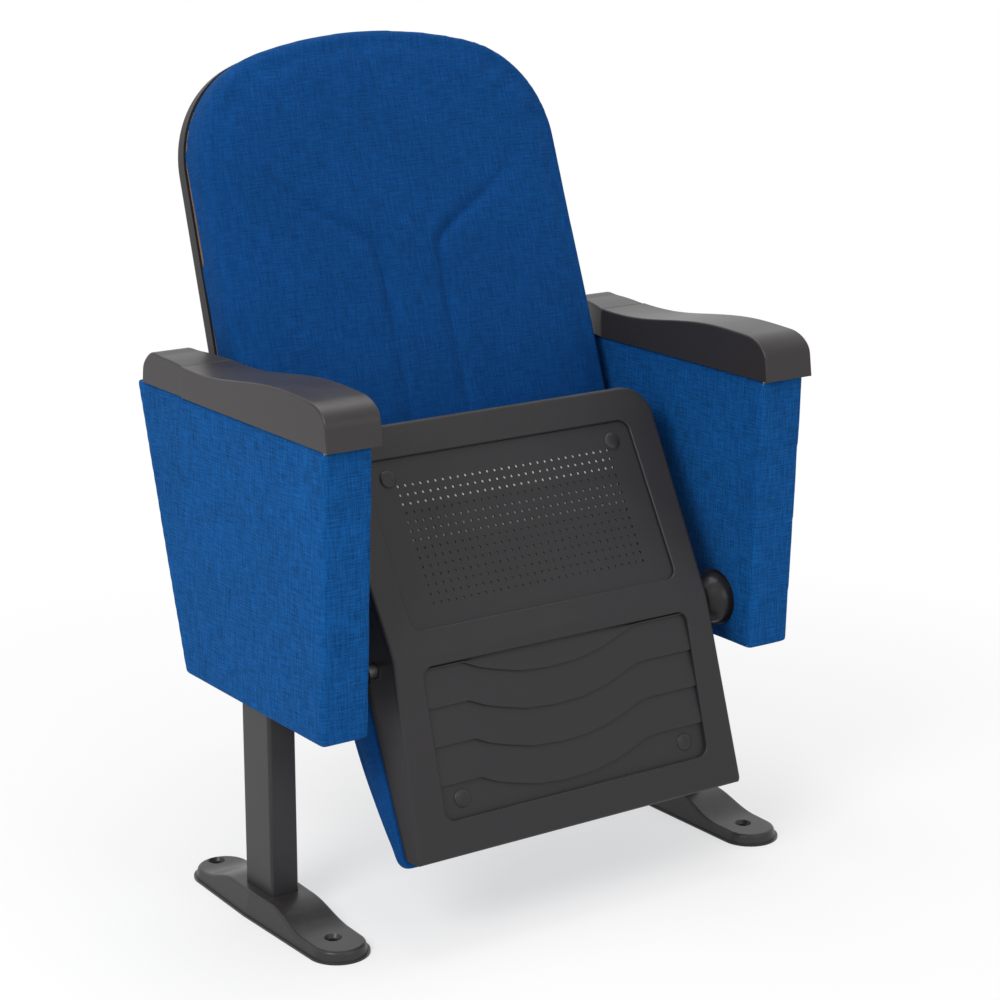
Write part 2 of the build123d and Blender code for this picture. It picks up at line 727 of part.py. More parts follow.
def arm_profile(x, drop):
    """Side outline of the armrest at x, its top lowered and its ends drawn in by the drop."""
    front = arm_front + drop
    rear = arm_rear - drop
    base = panel_top
    with BuildSketch(Plane.YZ.offset(x)) as profile:
        with BuildLine():
            Line((rear, base), (front, base))
            Line((front, base), (front + arm_face_rake, base + arm_face_height - drop))
            Spline(
                (front + arm_face_rake, base + arm_face_height - drop),
                (front + arm_nose_middle[0], base + arm_nose_middle[1] - drop),
                (front + arm_nose_run, nose_top - drop),
                tangents=((arm_face_rake, arm_face_height), (1, 0.05)),
            )
            Spline(
                (front + arm_nose_run, nose_top - drop), (arm_crest_y, crest_top - drop),
                (arm_slope_y, slope_top - drop), (arm_waist_y, waist_top - drop),
                (arm_joint, waist_top - drop), (arm_block_crest_y, block_top - drop),
                tangents=((1, 0.05), (1, 0)),
            )
            Spline(
                (arm_block_crest_y, block_top - drop),
                (rear - arm_rear_round, block_top - arm_rear_fall - drop),
                (rear - arm_rear_rake, base + arm_rear_shoulder - drop),
                (rear - 1, base + arm_rear_face - drop),
                tangents=((1, 0), (0.1, -1)),
            )
            Line((rear - 1, base + arm_rear_face - drop), (rear, base))
        make_face()
    return profile.sketch


arm_screw_hole = arm_screw_radius + running_clearance
arm_inner_x = leg_x - arm_width / 2
arm_outer_x = leg_x + arm_width / 2


def arm_wedge(inset):
    """Wedge beside the backrest that the rear block leaves free, grown into the block by the inset."""
    taper_end = arm_rear + arm_wall
    taper_share = (taper_end - arm_joint) / (arm_rear - arm_joint)
    with BuildPart() as wedge:
        with BuildSketch(Plane(origin=(arm_inner_x + inset, arm_joint, panel_top - 1))):
            Polygon(
                (-arm_width, 0), (0, 0), (arm_rear_taper * taper_share, taper_end - arm_joint),
                (-arm_width, taper_end - arm_joint), align=None,
            )
        extrude(amount=arm_crest_height + 5)
    return wedge.part


with BuildPart() as arm_hollow:
    extrude(arm_profile(arm_inner_x + arm_wall, arm_wall), amount=arm_width - 2 * arm_wall - arm_block_inset)
    add(arm_wedge(arm_wall), mode=Mode.SUBTRACT)
    with BuildSketch(Plane(origin=(leg_x, arm_joint, panel_top - 1))):
        Rectangle(arm_width, 2 * arm_wall)
    extrude(amount=arm_crest_height + 5, mode=Mode.SUBTRACT)
    with BuildSketch(Plane(origin=(leg_x, 0, panel_top - 1))):
        with Locations(*arm_screw_points):
            Circle(arm_boss_radius)
    extrude(amount=arm_crest_height + 5, mode=Mode.SUBTRACT)


def arm_half(front, rear, outer_x):
    """Part of the armrest's hollow moulding between two places along it."""
    with BuildPart() as half:
        extrude(arm_profile(arm_inner_x, 0), amount=outer_x - arm_inner_x)
        with BuildSketch(Plane(origin=(leg_x, (front + rear) / 2, panel_top))):
            Rectangle(2 * arm_width, rear - front)
        extrude(amount=arm_crest_height + 5, mode=Mode.INTERSECT)
        if rear > arm_joint:
            add(arm_wedge(0), mode=Mode.SUBTRACT)
        sides = half.faces().filter_by(lambda face: abs(face.normal_at(face.center()).X) > 0.9)
        side_edges = [edge for face in sides for edge in face.edges() if edge.center().Z > panel_top + 1]
        fillet([edge for edge in side_edges if abs(edge.center().Y - arm_joint) > 1], arm_edge_radius)
        end = half.faces().filter_by(lambda face: abs(face.center().Y - arm_joint) < 0.1)
        fillet([edge for edge in end.edges() if edge.center().Z > panel_top + 1], arm_seam_radius)
        add(arm_hollow.part, mode=Mode.SUBTRACT)
        with BuildSketch(Plane(origin=(leg_x, 0, panel_top - 1))):
            with Locations(*arm_screw_points):
                Circle(arm_screw_hole)
        extrude(amount=arm_screw_bite + 3, mode=Mode.SUBTRACT)
    return half.part


save_pair("armrest", arm_half(arm_front - 1, arm_joint, arm_outer_x))
save_pair("arm_rear_block", arm_half(arm_joint, arm_rear + 1, arm_outer_x - arm_block_inset))

with BuildPart() as armrest_screws:
    with BuildSketch(Plane(origin=(leg_x, 0, arm_plate_bottom))):
        with Locations(*arm_screw_points):
            Circle(arm_screw_radius)
    extrude(amount=arm_plate_thickness + arm_screw_bite)
    with BuildSketch(Plane(origin=(leg_x, 0, arm_plate_bottom))):
        with Locations(*arm_screw_points):
            Circle(arm_screw_head_radius)
    extrude(amount=-arm_screw_head_height)
    mirror(armrest_screws.part, about=Plane.YZ)
save("armrest_screws", armrest_screws.part)

# ---------------------------------------------------------------- backrest
corner_x = back_shoulder - back_corner
corner_end = radians(75)
corner_end_point = (
    corner_x + back_corner * cos(corner_end),
    back_shoulder_height + back_corner * sin(corner_end),
)
corner_middle = (
    corner_x + back_corner * cos(corner_end / 2),
    back_shoulder_height + back_corner * sin(corner_end / 2),
)


def back_outline(plane, inset):
    """Outline of the backrest seen from the front, drawn in by the inset."""
    with BuildSketch(plane) as outline:
        with BuildLine():
            for side in (1, -1):
                Line((0, -back_bottom), (side * (back_half_width - back_bottom_corner), -back_bottom))
                ThreePointArc(
                    (side * (back_half_width - back_bottom_corner), -back_bottom),
                    (
                        side * (back_half_width - back_bottom_corner * (1 - cos(radians(45)))),
                        -back_bottom + back_bottom_corner * (1 - cos(radians(45))),
                    ),
                    (side * back_half_width, -back_bottom + back_bottom_corner),
                )
                Line(
                    (side * back_half_width, -back_bottom + back_bottom_corner),
                    (side * back_shoulder, back_shoulder_height),
                )
                ThreePointArc(
                    (side * back_shoulder, back_shoulder_height),
                    (side * corner_middle[0], corner_middle[1]),
                    (side * corner_end_point[0], corner_end_point[1]),
                )
            ThreePointArc(
                corner_end_point, (0, back_top), (-corner_end_point[0], corner_end_point[1])
            )
        make_face()
        if inset > 0:
            offset(amount=-inset)
    return outline.sketch


def back_plane_at(behind):
    """Plane parallel to the backrest, behind the cushion's back by the distance given."""
    return back_plane.offset(-behind)


crown_section_plane = Plane(
    origin=back_plane.origin, x_dir=(1, 0, 0), z_dir=(0, -back_along[0], -back_along[1])
)


def crown_block(drop):
    """Prism under the crowned front of the back cushion, its front lowered by the drop."""
    edge = back_edge_depth - drop
    with BuildPart() as block:
        with BuildSketch(crown_section_plane):
            with BuildLine():
                Polyline(
                    (back_half_width + 5, edge), (back_half_width + 5, 0),
                    (-back_half_width - 5, 0), (-back_half_width - 5, edge),
                )
                ThreePointArc(
                    (-back_half_width - 5, edge), (0, edge + back_crown), (back_half_width + 5, edge)
                )
            make_face()
        extrude(amount=back_top + back_bottom, both=True)
    return block.part


channel_paths = (
    ((-162, 222), (-120, 160), (-78, 118), (-40, 88), (-34, 40), (-20, -60), (-12, -140)),
    ((162, 222), (120, 160), (78, 118), (40, 88), (34, 40), (20, -60), (12, -140)),
)

with BuildPart() as channels:
    for path in channel_paths:
        with BuildSketch(back_plane):
            for low, high in zip(path[:-1], path[1:]):
                with BuildLine():
                    Line(low, high)
                trace(line_width=channel_width)
        extrude(amount=back_edge_depth + back_crown + 5)
    add(crown_block(channel_depth), mode=Mode.SUBTRACT)

with BuildPart() as back_cushion:
    extrude(back_outline(back_plane, 0), amount=back_edge_depth + back_crown + 5)
    add(crown_block(0), mode=Mode.INTERSECT)
    fillet(back_cushion.faces().sort_by(Axis((0, 0, 0), back_plane.z_dir))[-1].edges(), back_edge_radius)
    add(channels.part, mode=Mode.SUBTRACT)
save("back_cushion", back_cushion.part)

shell_inset = shell_wall + fit
bracket_bolt_x = back_half_width - bracket_reach / 2
bracket_bolt_heights = (bracket_low + bracket_bolt_edge, bracket_high - bracket_bolt_edge)
shell_screw_points = [
    (side * shell_screw_x, height) for side in (1, -1) for height in (shell_screw_low, shell_screw_high)
]

with BuildPart() as back_board:
    extrude(back_outline(back_plane, shell_inset), amount=-back_board_thickness)
    with BuildSketch(back_plane):
        with Locations(*[(side * bracket_bolt_x, y) for side in (1, -1) for y in bracket_bolt_heights]):
            Circle(back_bolt_radius + running_clearance)
        with Locations(*shell_screw_points):
            Circle(shell_screw_radius + running_clearance)
    extrude(amount=-back_board_thickness, mode=Mode.SUBTRACT)
save("back_board", back_board.part)

shell_screw_seat = shell_depth - shell_screw_head_height - running_clearance

with BuildPart() as back_shell:
    extrude(back_outline(back_plane, 0), amount=-shell_depth)
    fillet(back_shell.faces().sort_by(Axis((0, 0, 0), back_plane.z_dir))[0].edges(), shell_edge_radius)
    extrude(back_outline(back_plane, shell_wall), amount=-(shell_depth - shell_wall), mode=Mode.SUBTRACT)
    with BuildSketch(back_plane_at(back_board_thickness)):
        with Locations(*shell_screw_points):
            Circle(shell_boss_radius)
    extrude(amount=-(shell_depth - back_board_thickness - 1))
    with BuildSketch(back_plane):
        with Locations(*shell_screw_points):
            Circle(shell_screw_radius + running_clearance)
    extrude(amount=-shell_depth - 1, mode=Mode.SUBTRACT)
    with BuildSketch(back_plane_at(shell_screw_seat)):
        with Locations(*shell_screw_points):
            Circle(shell_screw_head + fit)
    extrude(amount=-shell_depth, mode=Mode.SUBTRACT)
    extrude(
        bracket_section(-back_half_width - 5, bracket_gap), amount=2 * back_half_width + 10, mode=Mode.SUBTRACT
    )
save("back_shell", back_shell.part)

with BuildPart() as back_shell_screws:
    with BuildSketch(back_plane_at(shell_screw_seat)):
        with Locations(*shell_screw_points):
            Circle(shell_screw_head)
    extrude(amount=-shell_screw_head_height)
    with BuildSketch(back_plane_at(back_board_thickness - screw_bite)):
        with Locations(*shell_screw_points):
            Circle(shell_screw_radius)
    extrude(amount=-(shell_screw_seat - back_board_thickness + screw_bite))
save("back_shell_screws", back_shell_screws.part)

bracket_x = leg_x - bracket_thickness / 2
bracket_arm_end = back_half_width - bracket_reach

with BuildPart() as back_bracket:
    with BuildSketch(Plane.YZ.offset(bracket_x)):
        Polygon(
            (tube_half, panel_bottom + bracket_root_low),
            back_point(bracket_low, back_board_thickness),
            back_point(bracket_low, back_board_thickness + bracket_thickness),
            back_point(bracket_high, back_board_thickness + bracket_thickness),
            back_point(bracket_high, back_board_thickness),
            (tube_half, panel_bottom + bracket_root_high),
            align=None,
        )
    extrude(amount=bracket_thickness)
    extrude(bracket_section(bracket_arm_end, 0), amount=bracket_x - bracket_arm_end + bracket_thickness)
    with BuildSketch(back_plane):
        with Locations(*[(bracket_bolt_x, y) for y in bracket_bolt_heights]):
            Circle(back_bolt_radius + running_clearance)
    extrude(amount=-shell_depth, mode=Mode.SUBTRACT)
save_pair("back_bracket", back_bracket.part)

with BuildPart() as back_bolts:
    with BuildSketch(back_plane_at(back_board_thickness + bracket_thickness)):
        with Locations(*[(bracket_bolt_x, y) for y in bracket_bolt_heights]):
            Circle(back_bolt_head_radius)
    extrude(amount=-back_bolt_head_height)
    with BuildSketch(back_plane_at(back_board_thickness - back_bolt_bite)):
        with Locations(*[(bracket_bolt_x, y) for y in bracket_bolt_heights]):
            Circle(back_bolt_radius)
    extrude(amount=-(bracket_thickness + back_bolt_bite))
    mirror(back_bolts.part, about=Plane.YZ)
save("back_bolts", back_bolts.part)

# ---------------------------------------------------------------- seat pan


def pan_side(inset):
    """Side profile of the pan, its walls and underside drawn in by the inset."""
    with BuildSketch(Plane.YZ) as profile:
        Polygon(
            seat_point(-inset * 0.5, -inset),
            seat_point(-pan_rear_overhang, pan_rear_depth),
            seat_point(pan_bend, pan_bend_depth),
            seat_point(pan_length, pan_front_depth),
            seat_point(pan_length, -inset),
            align=None,
        )
        fillet(profile.vertices().sort_by_distance(Vertex(bend[0], bend[1], 0))[0], pan_bend_radius)
        if inset > 0:
            offset(amount=-inset, kind=Kind.INTERSECTION)
    return profile.sketch


def pan_plan(inset, rear=pan_rear_overhang):
    """Plan of the pan seen square to the seat board, drawn in by the inset, from its rear end."""
    with BuildSketch(seat_plane) as plan:
        with BuildLine():
            Polyline(
                (-pan_half_width, -rear), (pan_half_width, -rear), (pan_waist, pan_bend),
                (pan_half_width, pan_length), (-pan_half_width, pan_length), (-pan_waist, pan_bend),
                (-pan_half_width, -rear),
            )
        make_face()
        fillet(plan.vertices().group_by(Axis.Y)[-1], pan_front_corner)
        fillet(plan.vertices().group_by(Axis.Y)[0], pan_rear_corner)
        fillet([corner for corner in plan.vertices() if abs(corner.Y - pan_bend) < 1], pan_waist_radius)
        if inset != 0:
            offset(amount=-inset)
    return plan.sketch


def pan_block(inset):
    """Solid of the pan's outline, drawn in by the inset and open at its top."""
    with BuildPart() as block:
        extrude(pan_plan(inset), amount=pan_bend_depth + 5)
        extrude(pan_plan(inset), amount=-inset - 1)
        extrude(pan_side(inset), amount=pan_half_width, both=True, mode=Mode.INTERSECT)
    return block.part


def board_slab(inset, low, high):
    """Slice of the pan's inside parallel to the seat board, between two depths."""
    with BuildPart() as slab:
        add(pan_block(inset))
        with BuildSketch(seat_plane.offset(low)):
            with Locations((0, pan_length / 2)):
                Rectangle(3 * pan_half_width, 2 * pan_length)
        extrude(amount=high - low, mode=Mode.INTERSECT)
    return slab.part


screw_places = (
    (front_face, cap_up, front_slope, vent_recess),
    (rear_face, -cap_down, rear_slope, wave_recess),
)


def pan_studs(radius, start, into_board):
    """Four cylinders square to the underside, from a depth below the recess floors up to the board."""
    with BuildPart() as studs:
        for face, height, slope, floor in screw_places:
            below = pan_bend_depth - abs(height) * sin(slope)
            reach = (below - seat_board_thickness) / cos(slope) + into_board
            with BuildSketch(face.offset(-floor - start)):
                with Locations((cap_x, height), (-cap_x, height)):
                    Circle(radius)
            extrude(amount=-(reach - floor - start))
    return studs.part


def recess(face, low, high, half_width, corner, depth, rise=0):
    """Rounded block let into the underside between two heights on one of its faces."""
    with BuildPart() as block:
        with BuildSketch(face.offset(rise)):
            with Locations((0, (low + high) / 2)):
                RectangleRounded(2 * half_width, high - low, corner)
        extrude(amount=-depth - rise)
    return block.part


def recess_rim(face, low, high):
    """Broken edge round the mouth of a recess."""
    with BuildPart() as rim:
        with BuildSketch(face.offset(edge_break)):
            with Locations((0, (low + high) / 2)):
                RectangleRounded(
                    2 * recess_half_width + 4 * edge_break, high - low + 4 * edge_break,
                    recess_corner + 2 * edge_break,
                )
        extrude(amount=-2 * edge_break, taper=45)
    return rim.part


screw_hole = pan_screw_radius + running_clearance
vent_depth = vent_recess + vent_plate
wave_depth = wave_recess + vent_plate

with BuildPart() as pan_hollow:
    add(pan_block(pan_wall))
    add(
        recess(
            front_face, vent_low - pan_wall, vent_high + pan_wall, recess_half_width + pan_wall,
            recess_corner + pan_wall, vent_depth + pan_wall,
        ),
        mode=Mode.SUBTRACT,
    )
    add(
        recess(
            rear_face, -wave_low - pan_wall, -wave_high + pan_wall, recess_half_width + pan_wall,
            recess_corner + pan_wall, wave_depth + pan_wall,
        ),
        mode=Mode.SUBTRACT,
    )
    add(pan_studs(pan_boss_radius, vent_plate, 5), mode=Mode.SUBTRACT)
    add(board_slab(pan_wall, -pan_wall - 1, seat_board_thickness))


wave_count = int((wave_low - wave_first - wave_dip) / wave_pitch) + 1


def wave_line(height):
    """One louvre line: straight at both ends and dipping between, at a height on the rear face."""
    with BuildLine() as line:
        Line((-recess_half_width + wave_groove, height), (-wave_kink, height))
        Spline(
            (-wave_kink, height), (-0.43 * wave_kink, height - 0.88 * wave_dip), (0, height - wave_dip),
            (0.43 * wave_kink, height - 0.68 * wave_dip), (0.92 * wave_kink, height),
            tangents=((1, -0.5), (1, 0)),
        )
        Line((0.92 * wave_kink, height), (recess_half_width - wave_groove, height))
    return line


with BuildPart() as seat_pan:
    add(pan_block(0))
    under_faces = seat_pan.faces().filter_by(
        lambda face: face.normal_at(face.center()).Y < -0.5 and face.area > pan_patch_area
    )
    under_edges = [edge for face in under_faces for edge in face.edges()]
    fillet(
        [edge for edge in seat_pan.edges() if sum(edge.is_same(other) for other in under_edges) == 1],
        pan_edge_radius,
    )
    add(pan_hollow.part, mode=Mode.SUBTRACT)
    add(
        recess(front_face, vent_low, vent_high, recess_half_width, recess_corner, vent_depth, rise=1),
        mode=Mode.SUBTRACT,
    )
    add(
        recess(
            front_face, vent_field_low, vent_field_high, vent_field_half_width, 2,
            vent_depth + 2 * pan_wall,
        ),
        mode=Mode.SUBTRACT,
    )
    add(
        recess(rear_face, -wave_low, -wave_high, recess_half_width, recess_corner, wave_recess, rise=1),
        mode=Mode.SUBTRACT,
    )
    add(recess_rim(front_face, vent_low, vent_high), mode=Mode.SUBTRACT)
    add(recess_rim(rear_face, -wave_low, -wave_high), mode=Mode.SUBTRACT)
    with BuildSketch(rear_face.offset(-wave_recess)):
        for line in range(wave_count):
            trace(wave_line(-wave_first - line * wave_pitch).line, line_width=wave_groove)
    extrude(amount=-wave_step, mode=Mode.SUBTRACT)
    add(pan_studs(screw_hole, -1, 5), mode=Mode.SUBTRACT)
    for face, height, slope, floor in screw_places:
        with BuildSketch(face.offset(-floor)):
            with Locations((cap_x, height), (-cap_x, height)):
                Circle(pan_screw_head + fit)
        extrude(amount=-vent_plate, mode=Mode.SUBTRACT)
    with BuildSketch(axis_sketch_plane(0)):
        Circle(pin_radius + 1.5)
    extrude(amount=pan_half_width, both=True, mode=Mode.SUBTRACT)
save("seat_pan", seat_pan.part)

vent_columns = int(2 * (vent_field_half_width - vent_hole_radius) / vent_pitch_x) + 1
vent_rows = int((vent_field_high - vent_field_low - 2 * vent_hole_radius) / vent_pitch_y) + 1

with BuildPart() as seat_vent_panel:
    add(
        recess(
            front_face.offset(-vent_recess), vent_low + fit, vent_high - fit, recess_half_width - fit,
            recess_corner - fit, vent_plate,
        )
    )
    with BuildSketch(front_face):
        with Locations((0, (vent_field_low + vent_field_high) / 2)):
            with GridLocations(vent_pitch_x, vent_pitch_y, vent_columns, vent_rows):
                Circle(vent_hole_radius)
        with Locations((cap_x, cap_up), (-cap_x, cap_up)):
            Circle(pan_screw_head + fit)
    extrude(amount=-vent_depth - 1, mode=Mode.SUBTRACT)
save("seat_vent_panel", seat_vent_panel.part)

with BuildPart() as seat_screw_caps:
    for face, height, slope, floor in screw_places:
        with BuildSketch(face.offset(-floor)):
            with Locations((cap_x, height), (-cap_x, height)):
                Circle(cap_radius)
        extrude(amount=cap_height - cap_edge)
        with BuildSketch(face.offset(-floor + cap_height - cap_edge)):
            with Locations((cap_x, height), (-cap_x, height)):
                Circle(cap_radius)
        extrude(amount=cap_edge, taper=45)
save("seat_screw_caps", seat_screw_caps.part)

hinge_screw_x = hinge_x - hinge_screw_inset
hinge_tab_middle = (hinge_tab_start + hinge_tab_end) / 2
hinge_screw_points = [(hinge_screw_x, pan_bend + hinge_tab_middle), (hinge_screw_x, pan_bend - hinge_tab_middle)]

with BuildPart() as hinge_screws:
    with BuildSketch(seat_plane.offset(seat_board_thickness + hinge_plate_thickness)):
        with Locations(*hinge_screw_points):
            Circle(pan_screw_head)
    extrude(amount=pan_screw_head_height)
    with BuildSketch(seat_plane.offset(seat_board_thickness - screw_bite)):
        with Locations(*hinge_screw_points):
            Circle(pan_screw_radius)
    extrude(amount=screw_bite + hinge_plate_thickness)
    mirror(hinge_screws.part, about=Plane.YZ)
save("hinge_screws", hinge_screws.part)

with BuildPart() as seat_board:
    add(board_slab(pan_wall + fit, 0, seat_board_thickness))
    add(pan_studs(screw_hole, 0, screw_bite), mode=Mode.SUBTRACT)
    with BuildSketch(seat_plane.offset(seat_board_thickness - screw_bite)):
        with Locations(*hinge_screw_points, *[(-x, y) for x, y in hinge_screw_points]):
            Circle(screw_hole)
    extrude(amount=screw_bite, mode=Mode.SUBTRACT)
save("seat_board", seat_board.part)

with BuildPart() as seat_pan_screws:
    add(pan_studs(pan_screw_radius, vent_plate, screw_bite))
    for face, height, slope, floor in screw_places:
        with BuildSketch(face.offset(-floor - vent_plate)):
            with Locations((cap_x, height), (-cap_x, height)):
                Circle(pan_screw_head)
        extrude(amount=pan_screw_head_height)
save("seat_pan_screws", seat_pan_screws.part)

# ---------------------------------------------------------------- seat cushion
cushion_start = -seat_cushion_overhang - 1
cushion_end = pan_length + 1
cushion_stations = 9
cushion_swell = 0.4          # shares of the cushion's length between which it is thickest
cushion_fall = 0.62
cushion_half = pan_half_width + seat_cushion_proud + 1


def cushion_height(share):
    """Height of the cushion's side at a share of its length: it swells from the rear, then falls a little."""
    if share < cushion_swell:
        rise = sin(radians(90) * share / cushion_swell)
        return seat_cushion_end + (seat_cushion_full - seat_cushion_end) * rise
    fall = 1 - cos(radians(90) * max(0, share - cushion_fall) / (1 - cushion_fall))
    return seat_cushion_full - (seat_cushion_full - seat_cushion_front) * fall


with BuildPart() as seat_cushion:
    for station in range(cushion_stations):
        share = station / (cushion_stations - 1)
        origin = seat_point(cushion_start + share * (cushion_end - cushion_start), 0)
        side_height = cushion_height(share)
        crown = seat_crown * sin(radians(20 + 130 * share))
        with BuildSketch(Plane(origin=(0, *origin), x_dir=(1, 0, 0), z_dir=(0, *seat_along))):
            with BuildLine():
                Polyline(
                    (-cushion_half, side_height), (-cushion_half, 0),
                    (cushion_half, 0), (cushion_half, side_height),
                )
                ThreePointArc(
                    (cushion_half, side_height), (0, side_height + crown), (-cushion_half, side_height)
                )
            make_face()
    loft()
    plan = pan_plan(-seat_cushion_proud, seat_cushion_overhang)
    extrude(plan, amount=-2 * seat_cushion_full, mode=Mode.INTERSECT)
    fillet(
        seat_cushion.faces().sort_by(Axis((0, 0, 0), (0, *seat_below)))[0].edges(), seat_edge_radius
    )
save("seat_cushion", seat_cushion.part)

# ---------------------------------------------------------------- seat hinges and springs
bush_radius = pin_radius + running_clearance + bush_wall

with BuildPart() as hinge_plate:
    with BuildSketch(Plane.YZ.offset(hinge_inner_x)):
        with BuildLine():
            CenterArc((pivot_y, pivot_z), hinge_plate_radius, 0, 360)
            Line(
                seat_point(pan_bend - hinge_tab_end, seat_board_thickness),
                seat_point(pan_bend + hinge_tab_end, seat_board_thickness),
            )
        make_hull()
    extrude(amount=hinge_plate_thickness)
    with BuildSketch(seat_plane.offset(seat_board_thickness)):
        with Locations((hinge_x, pan_bend)):
            Rectangle(3 * hinge_tab_width, 3 * hinge_tab_end)
    extrude(amount=-hinge_plate_radius, mode=Mode.SUBTRACT)
    with BuildSketch(seat_plane.offset(seat_board_thickness)):
        for tab in (pan_bend - hinge_tab_middle, pan_bend + hinge_tab_middle):
            with Locations((hinge_x - hinge_tab_width / 2, tab)):
                Rectangle(hinge_tab_width, hinge_tab_end - hinge_tab_start)
        with Locations(*hinge_screw_points):
            Circle(screw_hole, mode=Mode.SUBTRACT)
    extrude(amount=hinge_plate_thickness)
    with BuildSketch(axis_sketch_plane(hinge_inner_x - 1)):
        Circle(bush_radius)
    extrude(amount=hinge_plate_thickness + 2, mode=Mode.SUBTRACT)
save_pair("hinge_plate", hinge_plate.part)

with BuildPart() as pivot_bush:
    with BuildSketch(pivot_side(hinge_x)):
        Circle(bush_radius)
    extrude(amount=hinge_plate_thickness)
    with BuildSketch(pivot_side(hinge_inner_x)):
        Circle(bush_radius + bush_flange)
    extrude(amount=bush_flange_thickness)
    with BuildSketch(pivot_side(hinge_x)):
        Circle(pin_radius + running_clearance)
    extrude(amount=hinge_plate_thickness + bush_flange_thickness, mode=Mode.SUBTRACT)
save_pair("pivot_bush", pivot_bush.part)

buffer_reach = hinge_inner_x - cam_x + cam_thickness

with BuildPart() as stop_buffers:
    for offset_way, angle in ((buffer_offset, lobe_angle), (-buffer_offset, lobe_angle - tip_angle)):
        with BuildSketch(axis_sketch_plane(hinge_inner_x)):
            with Locations(turned(buffer_radius, offset_way, angle)):
                Rectangle(buffer_length, buffer_width, rotation=angle)
        extrude(amount=-buffer_reach)
save_pair("stop_buffers", stop_buffers.part)

spring_plane = Plane(
    origin=(spring_outer_x, pivot_y, pivot_z), x_dir=(0, -seat_below[0], -seat_below[1]), z_dir=(-1, 0, 0)
)

with BuildPart() as wound_wire:
    with BuildLine() as coil:
        Helix(spring_pitch, spring_length, spring_radius, lefthand=True)
    with BuildSketch(Plane(origin=coil.line @ 0, z_dir=coil.line % 0)):
        Circle(spring_wire_radius)
    sweep(path=coil.line, is_frenet=True)
    with BuildSketch(Plane.XY):
        with Locations((spring_radius, 0)):
            Circle(spring_wire_radius)
    extrude(amount=-(cam_thickness + spring_wire_radius))
    with BuildSketch(Plane(origin=coil.line @ 1, z_dir=(0, -1, 0))):
        Circle(spring_wire_radius)
    extrude(amount=spring_leg)
    with Locations(coil.line @ 0, coil.line @ 1):
        Sphere(spring_wire_radius)

with BuildPart() as return_spring:
    with Locations(spring_plane.location):
        add(wound_wire.part)
save_pair("return_spring", return_spring.part)
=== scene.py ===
"""Looks of a tip-up auditorium seat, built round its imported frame.

Lengths are in metres, angles in degrees. +Z is up, the seat faces -Y, and +X is to the right of someone
who looks at its front. "Up" on a slanted part runs along it, and "out" is square to it, towards the front.
"""

from __future__ import annotations

import json
import logging
import math
from dataclasses import dataclass, field
from enum import Enum
from typing import Callable, Sequence

import bmesh
import bpy
from bmesh.types import BMEdge, BMesh, BMVert
from bpy.types import Material, Mesh, Node, NodeSocket, NodeTree, Object
from mathutils import Matrix, Vector, noise

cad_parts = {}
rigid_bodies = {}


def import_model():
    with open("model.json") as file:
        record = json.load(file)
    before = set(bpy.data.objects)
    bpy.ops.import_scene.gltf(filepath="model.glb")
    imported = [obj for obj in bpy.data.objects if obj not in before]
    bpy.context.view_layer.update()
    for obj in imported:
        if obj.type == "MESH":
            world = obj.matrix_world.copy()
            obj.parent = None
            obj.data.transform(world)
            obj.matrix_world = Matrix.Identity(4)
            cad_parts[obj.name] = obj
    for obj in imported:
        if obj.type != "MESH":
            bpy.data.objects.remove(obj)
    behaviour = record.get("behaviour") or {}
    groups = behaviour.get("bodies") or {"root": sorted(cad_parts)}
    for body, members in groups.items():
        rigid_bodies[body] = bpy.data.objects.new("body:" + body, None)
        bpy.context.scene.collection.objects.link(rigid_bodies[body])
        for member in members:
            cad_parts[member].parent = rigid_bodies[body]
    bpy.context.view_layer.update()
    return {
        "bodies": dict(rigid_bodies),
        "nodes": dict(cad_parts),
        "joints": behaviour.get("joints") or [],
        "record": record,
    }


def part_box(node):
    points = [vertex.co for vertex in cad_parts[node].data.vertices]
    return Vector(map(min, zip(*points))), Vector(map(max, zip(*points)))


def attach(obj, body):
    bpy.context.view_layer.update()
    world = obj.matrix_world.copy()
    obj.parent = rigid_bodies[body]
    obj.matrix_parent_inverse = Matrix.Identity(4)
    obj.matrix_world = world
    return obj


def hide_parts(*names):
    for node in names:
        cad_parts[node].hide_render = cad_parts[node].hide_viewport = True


LOG = logging.getLogger("auditorium_seat")
MM = 0.001
SHARP = 35


class Side(Enum):
    """The two sides of the seat, with the sign of X on each."""

    LEFT = -1
    RIGHT = 1

    @property
    def label(self) -> str:
        """The side's word in the names of pieces."""
        return self.name.lower()


class Body(Enum):
    """The rigid bodies that pieces ride on."""

    ROOT = "root"
    SEAT = "seat"


# ---------------------------------------------------------------- meshes


@dataclass(frozen=True)
class Slant:
    """A slanted face of the seat: where its origin stands, and how far it leans from upright.

    Attributes:
        y: Place of the origin along Y.
        z: Height of the origin.
        lean: Lean from upright, in degrees, with the top towards the rear.
    """

    y: float
    z: float
    lean: float

    def matrix(self) -> Matrix:
        """Matrix that takes (across, up, out) on this face to the frame."""
        sine, cosine = math.sin(math.radians(self.lean)), math.cos(math.radians(self.lean))
        turned = Matrix(((1, 0, 0), (0, sine, -cosine), (0, cosine, sine))).to_4x4()
        return Matrix.Translation((0, self.y, self.z)) @ turned

    def point(self, up: float, out: float) -> tuple[float, float]:
        """Y and Z of a point given up the face and out of it."""
        place = self.matrix() @ Vector((0, up, out))
        return place.y, place.z


